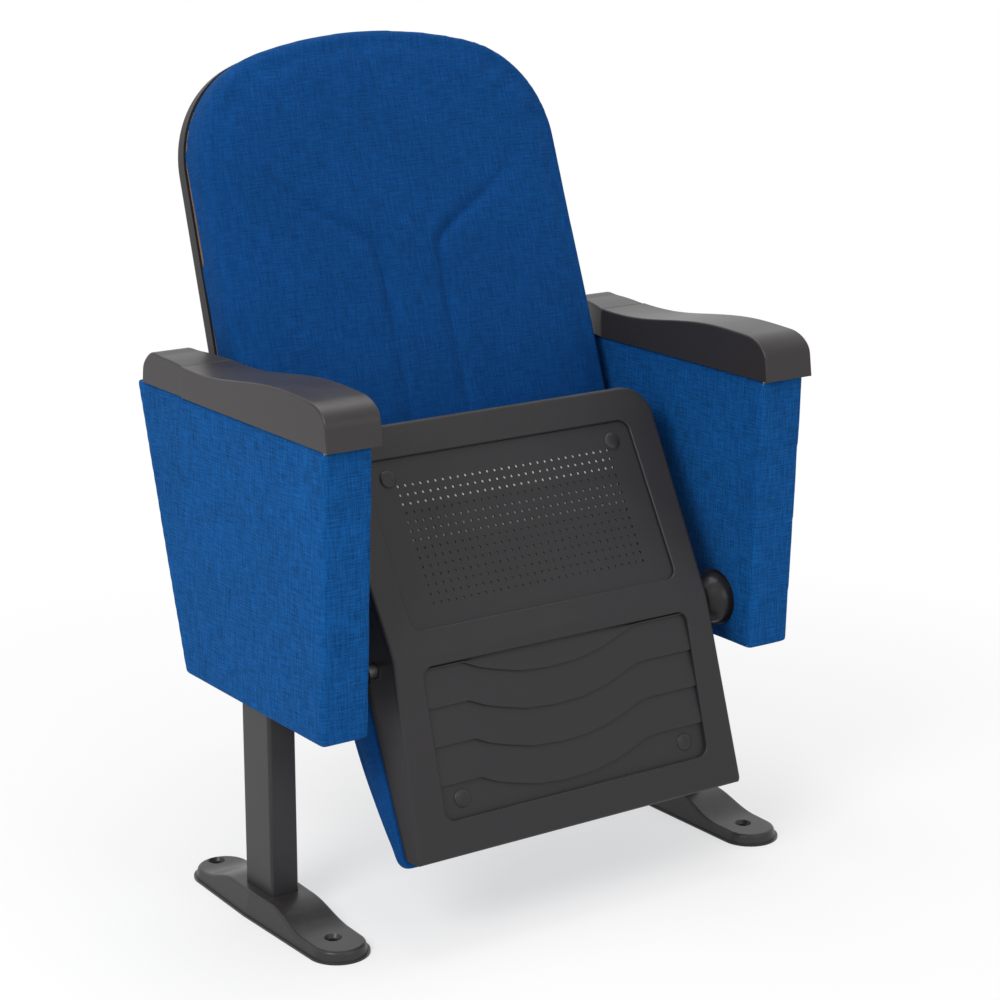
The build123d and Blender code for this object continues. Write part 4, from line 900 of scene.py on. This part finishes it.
@dataclass
class SeatFrame:
    """Where the faces of the tipped-up seat stand.

    Attributes:
        board: The seat board's upper face. Up runs to the seat's front, and out is below the seat.
        bend_up: Distance of the pan's bend up the board.
        bend_depth: Depth of the bend below the board.
        front_depth: Depth of the pan at its front end.
        rear_depth: Depth of the pan at its rear end.
        length: Length of the pan's upper rim.
        overhang: Reach of the pan past the rear end of its rim.
    """

    board: Slant = Slant(-177.8 * MM, 103.8 * MM, 27.3)
    bend_up: float = 207.2 * MM
    bend_depth: float = 70.1 * MM
    front_depth: float = 55.3 * MM
    rear_depth: float = 25.2 * MM
    length: float = 471 * MM
    overhang: float = 13.2 * MM

    @property
    def front_face(self) -> Slant:
        """The pan's upper face, from the bend to its front end."""
        slope = math.degrees(math.atan((self.bend_depth - self.front_depth) / (self.length - self.bend_up)))
        return Slant(*self.board.point(self.bend_up, self.bend_depth), self.board.lean + slope)

    @property
    def rear_face(self) -> Slant:
        """The pan's lower face, from the bend to its rear end."""
        slope = math.degrees(math.atan((self.bend_depth - self.rear_depth) / (self.bend_up + self.overhang)))
        return Slant(*self.board.point(self.bend_up, self.bend_depth), self.board.lean - slope)


@dataclass
class SeatPad:
    """The seat's cushion: it swells from a low rear end, falls a little to the front, and has a waist.

    Attributes:
        frame: Where the seat's faces stand.
        half_width: Half its width at its ends.
        waist: Half its width at the pan's bend.
        front_corner: Radius of its front corners.
        rear_corner: Radius of its rear corners.
        overhang: Reach past the rear end of the board.
        proud: How far it stands out past the pan's rim on each side.
        rear_height: Height of its side at the rear end.
        full_height: Greatest height of its side.
        front_height: Height of its side at the front end.
        swell_end: Share of its length where it is full.
        fall_start: Share of its length where it starts to fall.
        crown: Extra height in the middle.
        edge_radius: Radius of its upper edges.
        held_depth: Depth of the strip that is fixed to the board.
        swell: The furthest that the filling pushes the cover.
        voxel: Size of the cover's faces.
        seam_depth: Depth of the two seams.
        seam_width: Half the width of their valleys.
        seam_across: Distance of a seam from the middle, at the front.
        seam_spread: Share of that distance at the rear.
        seam_start: Place up the board where the seams start.
        seam_fade: Length over which they reach their depth.
    """

    frame: SeatFrame
    half_width: float = 225.5 * MM
    waist: float = 217.6 * MM
    front_corner: float = 38 * MM
    rear_corner: float = 9 * MM
    overhang: float = 10 * MM
    proud: float = 3 * MM
    rear_height: float = 14 * MM
    full_height: float = 58 * MM
    front_height: float = 40 * MM
    swell_end: float = 0.4
    fall_start: float = 0.62
    crown: float = 9 * MM
    edge_radius: float = 9 * MM
    held_depth: float = 5 * MM
    swell: float = 4 * MM
    voxel: float = 5.5 * MM
    seam_depth: float = 3.5 * MM
    seam_width: float = 8 * MM
    seam_across: float = 118 * MM
    seam_spread: float = 0.75
    seam_start: float = 10 * MM
    seam_fade: float = 30 * MM

    def side(self, up: float) -> float:
        """Half width of the pad at a place up the board."""
        bend = self.frame.bend_up
        share = min(1.0, abs(up - bend) / (bend if up < bend else self.frame.length - bend))
        return self.waist + (self.half_width - self.waist) * share

    def height(self, up: float) -> float:
        """Height of the pad's side at a place up the board."""
        share = max(0.0, min(1.0, (up + self.overhang) / (self.frame.length + self.overhang)))
        if share < self.swell_end:
            rise = math.sin(0.5 * math.pi * share / self.swell_end)
            return self.rear_height + (self.full_height - self.rear_height) * rise
        fall = 1 - math.cos(0.5 * math.pi * max(0.0, share - self.fall_start) / (1 - self.fall_start))
        return self.full_height - (self.full_height - self.front_height) * fall

    def build(self, material: Material) -> Object:
        """Builds the pad.

        Args:
            material: Its cloth.

        Returns:
            The finished pad, which stands for the plain solid.
        """
        length = self.frame.length
        bm = bmesh.new()
        bmesh.ops.create_cube(bm, size=1)
        bmesh.ops.translate(bm, vec=(0, 0, -0.5), verts=bm.verts)
        uprights = [edge for edge in bm.edges if abs(edge.verts[0].co.z - edge.verts[1].co.z) > 0.5]
        for vertex in bm.verts:
            across = math.copysign(self.half_width, vertex.co.x)
            up = length if vertex.co.y > 0 else -self.overhang
            vertex.co = Vector((across, up, vertex.co.z * self.full_height))
        front = [edge for edge in uprights if edge.verts[0].co.y > 0]
        rear = [edge for edge in uprights if edge.verts[0].co.y < 0]
        round_edges(bm, front, self.front_corner, segments=8)
        round_edges(bm, rear, self.rear_corner, segments=4)
        half_way = -0.5 * self.full_height
        top = [edge for edge in bm.edges if all(vertex.co.z < half_way for vertex in edge.verts)]
        round_edges(bm, top, self.edge_radius, segments=4)
        bmesh.ops.recalc_face_normals(bm, faces=bm.faces)
        piece = piece_from(bm, "seat_cushion_cover")
        remeshed(piece, self.voxel)
        reshape(piece, self._shaped)
        Filling(cap=self.swell).blow_up(piece, lambda place: 1.0 if place.z > -self.held_depth else 0.0)
        subdivided(piece)
        reshape(piece, self._seamed)
        piece.data.transform(self.frame.board.matrix())
        dress(piece, material, Body.SEAT, ("seat_cushion",))
        return piece

    def _shaped(self, place: Vector, normal: Vector) -> Vector:
        """Draws the sides in to the waist, and gives the top its rise and crown."""
        share = -place.z / self.full_height
        across = place.x / self.half_width
        along = max(0.05, min(0.95, place.y / self.frame.length))
        crown = self.crown * (1 - across ** 2) * math.sin(math.pi * along)
        height = (self.height(place.y) + crown * share) * share
        return Vector((across * (self.side(place.y) + self.proud), place.y, -height))

    def _seamed(self, place: Vector, normal: Vector) -> Vector:
        """Presses the two seams that run from front to rear into the pad's face."""
        if place.z > -0.5 * self.height(place.y):
            return place
        spread = self.seam_spread + (1 - self.seam_spread) * place.y / self.frame.length
        line = self.seam_across * spread
        distance = abs(abs(place.x) - line)
        ends = min(1.0, max(0.0, (place.y - self.seam_start) / self.seam_fade))
        place.z += self.seam_depth * ends * math.exp(-((distance / self.seam_width) ** 2))
        return place


@dataclass
class PanMouldings:
    """What lies in the pan's two recesses: the perforated panel, the louvres and the screw caps.

    Attributes:
        frame: Where the seat's faces stand.
        recess_half: Half the width of both recesses.
        corner: Radius of the upper recess's corners.
        vent_low: Lower end of the upper recess, up from the bend.
        vent_high: Its upper end.
        vent_recess: Depth of the perforated panel's face.
        plate: Thickness of the perforated panel.
        plate_gap: Gap round the perforated panel.
        columns: Holes across.
        rows: Rows of holes.
        pitch_x: Distance between holes across.
        pitch_y: Distance between rows.
        field_low: Lower end of the field of holes.
        hole: Radius of a hole.
        hole_room: Half the width of the square that a hole is made from.
        hole_corners: Corners of a hole.
        felt_width: Width of the felt strips behind the holes, whose tones are painted light and painted
            shade.
        felt_thickness: Their thickness.
        felt_gap: Gap between them and the panel.
        felt_edge: Radius of their edges.
        louvre_top: Upper end of the louvres, up from the bend.
        louvre_bottom: Their lower end.
        louvre_floor: Depth of the lower recess.
        louvre_lift: How far the louvres lie above its floor.
        louvre_rise: Height of a louvre's lower edge.
        louvre_edge: Radius of that edge.
        louvre_wall: Thickness of the louvres.
        louvre_columns: Faces across the louvres.
        louvre_bases: Places of the louvres' straight ends.
        louvre_dip: Points of a louvre's line, across and down, in millimetres.
        cap_across: Distance of a screw cap from the middle.
        cap_radius: Radius of a cap.
        cap_height: Height of a cap.
        cap_foot: Depth of a cap's foot.
        cap_profile: Points of a cap's outline, as shares of its radius and height.
        cap_sides: Faces round a cap.
        cap_up: Place of the upper caps, up from the bend.
        cap_down: Place of the lower caps.
    """

    frame: SeatFrame
    recess_half: float = 182.5 * MM
    corner: float = 13 * MM
    vent_low: float = 28 * MM
    vent_high: float = 224.5 * MM
    vent_recess: float = 4 * MM
    plate: float = 1.6 * MM
    plate_gap: float = 0.3 * MM
    columns: int = 30
    rows: int = 14
    pitch_x: float = 10 * MM
    pitch_y: float = 10.5 * MM
    field_low: float = 50.25 * MM
    hole: float = 1.75 * MM
    hole_room: float = 2.1 * MM
    hole_corners: int = 12
    felt_width: float = 292 * MM
    felt_thickness: float = 1.2 * MM
    felt_gap: float = 0.05 * MM
    felt_edge: float = 0.3 * MM
    louvre_top: float = -13 * MM
    louvre_bottom: float = -183.5 * MM
    louvre_floor: float = 6 * MM
    louvre_lift: float = 0.3 * MM
    louvre_rise: float = 3.2 * MM
    louvre_edge: float = 0.5 * MM
    louvre_wall: float = 0.25 * MM
    louvre_columns: int = 146
    louvre_bases: tuple[float, ...] = (-15.5 * MM, -58 * MM, -100.5 * MM, -143.5 * MM)
    louvre_dip: tuple[tuple[float, float], ...] = (
        (-182.5, 0), (-128, 0), (-108, -9), (-87, -15), (-56, -22.5), (-18, -25.5), (20, -24), (55, -17.5),
        (84, -7.5), (102, -1), (118, 0), (182.5, 0),
    )
    cap_across: float = 155 * MM
    cap_radius: float = 10.4 * MM
    cap_height: float = 2.6 * MM
    cap_foot: float = 0.4 * MM
    cap_profile: tuple[tuple[float, float], ...] = ((0, 1), (0.6, 0.92), (0.88, 0.7), (0.97, 0.35), (1, 0))
    cap_sides: int = 40
    cap_up: float = 202 * MM
    cap_down: float = -162 * MM

    def dip(self, across: float) -> float:
        """How far a louvre's line lies below its straight ends, at a place across the pan."""
        points = [(x * MM, drop * MM) for x, drop in self.louvre_dip]
        for (x0, d0), (x1, d1) in zip(points, points[1:]):
            if across <= x1:
                share = (across - x0) / (x1 - x0)
                return d0 + (d1 - d0) * share
        return 0.0

    def build_louvres(self, material: Material) -> Object:
        """Builds the stepped louvres: each strip stands proud at its lower edge.

        Args:
            material: The pan's moulding.

        Returns:
            The louvre panel on the floor of the lower recess.
        """
        edges = [self.louvre_top, *self.louvre_bases, self.louvre_bottom]
        rows = 2 * (len(edges) - 1)
        bm = bmesh.new()
        bmesh.ops.create_grid(bm, x_segments=self.louvre_columns, y_segments=rows - 1, size=0.5)
        floor = -self.louvre_floor + self.louvre_lift
        for vertex in bm.verts:
            row = round((0.5 - vertex.co.y) * (rows - 1))
            strip, lower = divmod(row, 2)
            across = 2 * vertex.co.x * self.recess_half
            line = edges[strip + lower]
            inner = 0 < strip + lower < len(edges) - 1
            up = max(line + (self.dip(across) if inner else 0.0), self.louvre_bottom)
            proud = self.louvre_rise if lower and inner else 0.0
            vertex.co = Vector((across, up, floor + proud))
        steps = [
            edge for edge in bm.edges
            if all(vertex.co.z > floor + 0.5 * self.louvre_rise for vertex in edge.verts)
        ]
        round_edges(bm, steps, self.louvre_edge, segments=2)
        bmesh.ops.recalc_face_normals(bm, faces=bm.faces)
        piece = piece_from(bm, "pan_louvres", SHARP)
        give_wall(piece, self.louvre_wall, SHARP)
        piece.data.transform(self.frame.rear_face.matrix())
        return dress(piece, material, Body.SEAT)

    def build_vent(self, material: Material) -> Object:
        """Builds the perforated panel with a real hole at every place of its grid.

        Args:
            material: The pan's moulding.

        Returns:
            The panel, which stands for the plain one.
        """
        width, height = self.columns * self.pitch_x, self.rows * self.pitch_y
        middle = self.field_low + 0.5 * height
        bm = bmesh.new()
        bmesh.ops.create_grid(bm, x_segments=self.columns, y_segments=self.rows, size=0.5)
        bmesh.ops.scale(bm, vec=(width, height, 1), verts=bm.verts)
        bmesh.ops.translate(bm, vec=(0, middle, 0), verts=bm.verts)
        cells = list(bm.faces)
        bmesh.ops.inset_individual(bm, faces=cells, thickness=0.5 * self.pitch_x - self.hole_room)
        rims = [edge for face in cells for edge in face.edges]
        bmesh.ops.subdivide_edges(bm, edges=rims, cuts=2)
        turn = 2 * math.pi / self.hole_corners
        for face in cells:
            centre = face.calc_center_median()
            for vertex in face.verts:
                spoke = vertex.co - centre
                angle = (math.floor(math.atan2(spoke.y, spoke.x) / turn) + 0.5) * turn
                vertex.co = centre + self.hole * Vector((math.cos(angle), math.sin(angle), 0))
        border = [edge for edge in bm.edges if edge.is_boundary]
        outer = self._plate_outline(bm)
        bmesh.ops.triangle_fill(bm, edges=border + outer, use_beauty=True, use_dissolve=False)
        bmesh.ops.delete(bm, geom=cells, context="FACES_ONLY")
        bmesh.ops.translate(bm, vec=(0, 0, -self.vent_recess), verts=bm.verts)
        bmesh.ops.recalc_face_normals(bm, faces=bm.faces)
        if sum(face.normal.z for face in bm.faces) < 0:
            bmesh.ops.reverse_faces(bm, faces=bm.faces)
        piece = piece_from(bm, "perforated_vent_panel", SHARP)
        give_wall(piece, self.plate, SHARP)
        piece.data.transform(self.frame.front_face.matrix())
        return dress(piece, material, Body.SEAT, ("seat_vent_panel",))

    def _plate_outline(self, bm: BMesh) -> list[BMEdge]:
        """Adds the panel's rounded outline to a mesh, and gives its edges."""
        half, radius = self.recess_half - self.plate_gap, self.corner - self.plate_gap
        low, high = self.vent_low + self.plate_gap, self.vent_high - self.plate_gap
        corners = ((half, low, -90), (half, high, 0), (-half, high, 90), (-half, low, 180))
        rim = []
        for x, y, start in corners:
            inward = radius if y == low else -radius
            middle = Vector((x - math.copysign(radius, x), y + inward))
            rim += [bm.verts.new((*point, 0)) for point in arc(middle, radius, start, start + 90, 6)]
        return [bm.edges.new((first, second)) for first, second in zip(rim, rim[1:] + rim[:1])]

    def build_painted_felt(self, material: Material, name: str, first: int, last: int) -> Object:
        """Builds a strip of felt close behind some rows of holes, its tone painted light or painted shade
        seen through them.

        Args:
            material: Its felt, whose tone is the painted light or painted shade of those rows.
            name: Name of the strip.
            first: The first row that it covers, counted from the top.
            last: The last row that it covers.

        Returns:
            The strip.
        """
        top = self.field_low + self.rows * self.pitch_y
        high, low = top - first * self.pitch_y, top - (last + 1) * self.pitch_y
        bm = bmesh.new()
        bmesh.ops.create_cube(bm, size=1)
        bmesh.ops.scale(bm, vec=(self.felt_width, high - low, self.felt_thickness), verts=bm.verts)
        out = -self.vent_recess - self.plate - self.felt_gap - 0.5 * self.felt_thickness
        bmesh.ops.translate(bm, vec=(0, 0.5 * (high + low), out), verts=bm.verts)
        round_edges(bm, bm.edges, self.felt_edge, segments=2)
        piece = piece_from(bm, name)
        piece.data.transform(self.frame.front_face.matrix())
        return dress(piece, material, Body.SEAT)

    def _cap(self, place: Vector, face: Slant) -> Mesh:
        """Builds one screw cap at a place on a face of the pan."""
        bm = bmesh.new()
        profile = [(self.cap_radius * x, self.cap_height * z) for x, z in self.cap_profile]
        profile += [(self.cap_radius, -self.cap_foot), (0, -self.cap_foot)]
        line = [bm.verts.new((x, 0, z)) for x, z in profile]
        edges = [bm.edges.new(pair) for pair in zip(line, line[1:])]
        turn = {"cent": (0, 0, 0), "axis": (0, 0, 1), "angle": 2 * math.pi, "steps": self.cap_sides}
        bmesh.ops.spin(bm, geom=edges, use_merge=True, **turn)
        bmesh.ops.remove_doubles(bm, verts=bm.verts, dist=1e-6)
        bmesh.ops.recalc_face_normals(bm, faces=bm.faces)
        bmesh.ops.translate(bm, vec=place, verts=bm.verts)
        bmesh.ops.transform(bm, matrix=face.matrix(), verts=bm.verts)
        cap = bpy.data.meshes.new("cap")
        bm.to_mesh(cap)
        bm.free()
        return cap

    def build_caps(self, material: Material) -> Object:
        """Builds the four push-in screw caps, each a low dome with a rolled edge.

        Args:
            material: Their moulding.

        Returns:
            The caps, as one piece.
        """
        whole = bmesh.new()
        places = (
            (self.frame.front_face, self.cap_up, self.vent_recess),
            (self.frame.rear_face, self.cap_down, self.louvre_floor - self.louvre_lift),
        )
        for face, up, floor in places:
            for side in Side:
                cap = self._cap(Vector((side.value * self.cap_across, up, -floor)), face)
                whole.from_mesh(cap)
                bpy.data.meshes.remove(cap)
        piece = piece_from(whole, "domed_screw_caps", 50)
        return dress(piece, material, Body.SEAT, ("seat_screw_caps",))


@dataclass
class SidePanel:
    """One upholstered side panel: cloth drawn over a tapering board.

    Attributes:
        side: The side that it stands on.
        front_bottom: Y of its front face at the bottom.
        rear_bottom: Y of its rear face at the bottom.
        edge: Radius of its edges.
        top_strip: Height of the plain strip under the armrest.
        voxel: Size of the cover's faces.
        swell: How far its faces swell.
        undulation: How far the cloth undulates.
        undulations: How fast it undulates, per metre.
        inset: How far it lies back, to leave room for the undulation.
    """

    side: Side
    front_bottom: float = -167.8 * MM
    rear_bottom: float = 136.3 * MM
    edge: float = 4 * MM
    top_strip: float = 6 * MM
    voxel: float = 4.5 * MM
    swell: float = 1.0 * MM
    undulation: float = 0.35 * MM
    undulations: float = 22
    inset: float = 0.4 * MM

    def build(self, material: Material) -> Object:
        """Builds the panel's cover.

        Args:
            material: Its cloth.

        Returns:
            The cover, which stands for the plain one.
        """
        node = self.side.label + "_panel_cover"
        low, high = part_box(node)
        middle, half = 0.5 * (low + high), 0.5 * (high - low)
        bm = bmesh.new()
        bmesh.ops.create_cube(bm, size=2)
        for vertex in bm.verts:
            place = Vector([m + h * share for m, h, share in zip(middle, half, vertex.co)])
            if vertex.co.z < 0:
                place.y = self.rear_bottom if vertex.co.y > 0 else self.front_bottom
            vertex.co = place
        below_top = [edge for edge in bm.edges if min(vertex.co.z for vertex in edge.verts) < middle.z]
        round_edges(bm, below_top, self.edge, segments=4)
        piece = piece_from(bm, self.side.label + "_panel_upholstery")
        remeshed(piece, self.voxel)

        def softened(place: Vector, normal: Vector) -> Vector:
            """Swells the faces a little and lets the cloth undulate."""
            y = max(0.0, 1 - ((place.y - middle.y) / half.y) ** 4)
            z = max(0.0, 1 - ((place.z - middle.z) / half.z) ** 4)
            ripple = noise.noise(place * self.undulations + Vector((0, 3.7 * self.side.value, 0)))
            if place.z > high.z - self.top_strip:
                return place
            move = self.swell * y * z * abs(normal.x) + self.undulation * ripple - self.inset
            return place + normal * move

        reshape(piece, softened)
        subdivided(piece)
        dress(piece, material, Body.ROOT, (node,))
        return piece


# ---------------------------------------------------------------- the carried-over pieces


class CarriedPieces:
    """CAD pieces that stay as they are and get their finish."""

    def __init__(self, frame: dict, materials: dict[str, Material]) -> None:
        """Keeps the frame and the finishes."""
        self.nodes = frame["nodes"]
        self.slots = {row["node"]: row["material_slot"] for row in frame["record"]["subparts"]}
        self.materials = materials

    def dress_all(self) -> None:
        """Gives every CAD node that shows the material of its slot."""
        for name, node in self.nodes.items():
            for slot in node.material_slots:
                slot.material = self.materials[self.slots[name]]
            LOG.info("%s keeps its shape, finish %s", name, self.slots[name])


# ---------------------------------------------------------------- studio


@dataclass(frozen=True)
class Lamp:
    """A soft round lamp over the seat.

    Attributes:
        name: Name of the lamp.
        place: Where it hangs.
        aim: Height on the middle axis that it is aimed at.
        power: Its power, in watts.
        size: Its width.
    """

    name: str
    place: tuple[float, float, float]
    aim: float
    power: float
    size: float

    def hang(self) -> None:
        """Adds the lamp to the scene."""
        data = bpy.data.lights.new(self.name, "AREA")
        data.energy, data.shape, data.size = self.power, "DISK", self.size
        lamp = bpy.data.objects.new(self.name, data)
        lamp.location = self.place
        towards = Vector((0, 0, self.aim)) - Vector(self.place)
        lamp.rotation_euler = towards.to_track_quat("-Z", "Y").to_euler()
        bpy.context.scene.collection.objects.link(lamp)


@dataclass
class Studio:
    """Pale floor, soft light and the photograph's camera.

    Attributes:
        camera_place: Where the camera stands.
        yaw: Turn of the camera about Z, in degrees.
        pitch: How far it looks down, in degrees.
        lens: Its focal length, in millimetres.
        sensor: Width of its sensor, in millimetres.
        lamps: The lamps.
        world_light: Strength of the even light from all round.
        floor_radius: Radius of the floor.
        floor_tone: How pale the floor is.
        shadow_reach: Distance from the middle within which the floor keeps its full shadow.
        white_reach: Distance past which the floor looks plain white.
        near_white: Share of plain white in the floor near the seat.
    """

    camera_place: tuple[float, float, float] = (-1.6798, -2.4549, 1.2438)
    yaw: float = -34.745
    pitch: float = 15.198
    lens: float = 96.12
    sensor: float = 36
    lamps: tuple[Lamp, ...] = (
        Lamp("key", (-2.6, -1.2, 2.3), 0.45, 60, 1.6),
        Lamp("front_fill", (0.6, -3.2, 1.6), 0.5, 14, 2.0),
        Lamp("top", (0.3, 0.6, 3.0), 0.4, 30, 2.0),
    )
    world_light: float = 0.55
    floor_radius: float = 9
    floor_tone: float = 0.9
    shadow_reach: float = 0.45
    white_reach: float = 1.3
    near_white: float = 0.55

    def build(self) -> None:
        """Builds the camera, lights, world and floor."""
        self._camera()
        self._world()
        self._floor()
        for lamp in self.lamps:
            lamp.hang()
        bpy.context.scene.view_settings.view_transform = "Standard"

    def _camera(self) -> None:
        """Adds the camera at the photograph's viewing angle."""
        data = bpy.data.cameras.new("photo_camera")
        data.lens, data.sensor_width = self.lens, self.sensor
        camera = bpy.data.objects.new("photo_camera", data)
        camera.location = self.camera_place
        camera.rotation_euler = (math.radians(90 - self.pitch), 0, math.radians(self.yaw))
        bpy.context.scene.collection.objects.link(camera)
        bpy.context.scene.camera = camera

    @staticmethod
    def _seen(sheet: Sheet) -> NodeSocket:
        """1 where the camera, a reflection or a look through glass meets the surface, otherwise 0."""
        light = sheet.add("ShaderNodeLightPath")
        seen = sheet.math("ADD", light.outputs["Is Camera Ray"], light.outputs["Is Glossy Ray"])
        return sheet.math("MINIMUM", sheet.math("ADD", seen, light.outputs["Is Transmission Ray"]), 1.0)

    @staticmethod
    def _blend(sheet: Sheet, kind: str, share: NodeSocket, first: Node, second: Node) -> None:
        """Puts out a mix of two shaders."""
        mixed = sheet.add("ShaderNodeMixShader", {0: share, 1: first.outputs[0], 2: second.outputs[0]})
        sheet.add(kind, {"Surface": mixed.outputs[0]})

    def _world(self) -> None:
        """Lights the scene evenly, and shows white behind it."""
        world = bpy.data.worlds.new("studio")
        world.use_nodes = True
        sheet = Sheet(world.node_tree)
        paper = (1, 1, 1, 1)
        light = sheet.add("ShaderNodeBackground", {"Color": paper, "Strength": self.world_light})
        white = sheet.add("ShaderNodeBackground", {"Color": paper})
        self._blend(sheet, "ShaderNodeOutputWorld", self._seen(sheet), light, white)
        bpy.context.scene.world = world

    def _floor(self) -> None:
        """Adds a round pale floor that keeps the seat's shadow."""
        bm = bmesh.new()
        bmesh.ops.create_circle(bm, cap_ends=True, segments=96, radius=self.floor_radius)
        floor = piece_from(bm, "floor")
        material = bpy.data.materials.new("floor")
        material.use_nodes = True
        sheet = Sheet(material.node_tree)
        matt = sheet.add("ShaderNodeBsdfDiffuse", {"Color": (*[self.floor_tone] * 3, 1)})
        glow = sheet.add("ShaderNodeEmission", {"Strength": 1.0})
        place = sheet.add("ShaderNodeTexCoord").outputs["Object"]
        away = sheet.add("ShaderNodeVectorMath", {0: place}, operation="LENGTH").outputs["Value"]
        whiteness = sheet.between(away, self.shadow_reach, self.white_reach, (self.near_white, 1.0))
        share = sheet.math("MULTIPLY", self._seen(sheet), whiteness)
        self._blend(sheet, "ShaderNodeOutputMaterial", share, matt, glow)
        floor.data.materials.append(material)


def corners(box: Sequence[Vector]) -> list[list[float]]:
    """A box as plain lists of numbers."""
    return [[float(value) for value in corner] for corner in box]


# Felt tones behind the vent's rows of holes, from the top: painted light in the top rows, dimmer painted
# light, then painted shade in the rest.
PAINTED_LIGHT_FELT_STRIPS = (
    ("painted_light_felt", "painted_light_felt_strip", 0, 2),
    ("painted_shade_felt", "upper_painted_shade_felt_strip", 3, 3),
    ("dim_painted_light_felt", "dim_painted_light_felt_strip", 4, 6),
    ("painted_shade_felt", "lower_painted_shade_felt_strip", 7, 13),
)


def main() -> None:
    """Builds the looks of the seat round its frame."""
    logging.basicConfig(level=logging.INFO, format="%(name)s: %(message)s")
    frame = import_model()
    materials = FinishRack().build()
    CarriedPieces(frame, materials).dress_all()
    seat = SeatFrame()
    Backrest().build(materials["back_fabric"])
    SeatPad(seat).build(materials["seat_fabric"])
    for side in Side:
        SidePanel(side).build(materials["panel_fabric"])
    pan = PanMouldings(seat)
    pan.build_louvres(materials["moulded_shell"])
    pan.build_vent(materials["moulded_shell"])
    # The felt strips paint the light and shade seen through the vent's holes.
    for felt, name, first, last in PAINTED_LIGHT_FELT_STRIPS:
        pan.build_painted_felt(materials[felt], name, first, last)
    pan.build_caps(materials["screw_cap"])
    Studio().build()


if __name__ == "__main__":
    main()
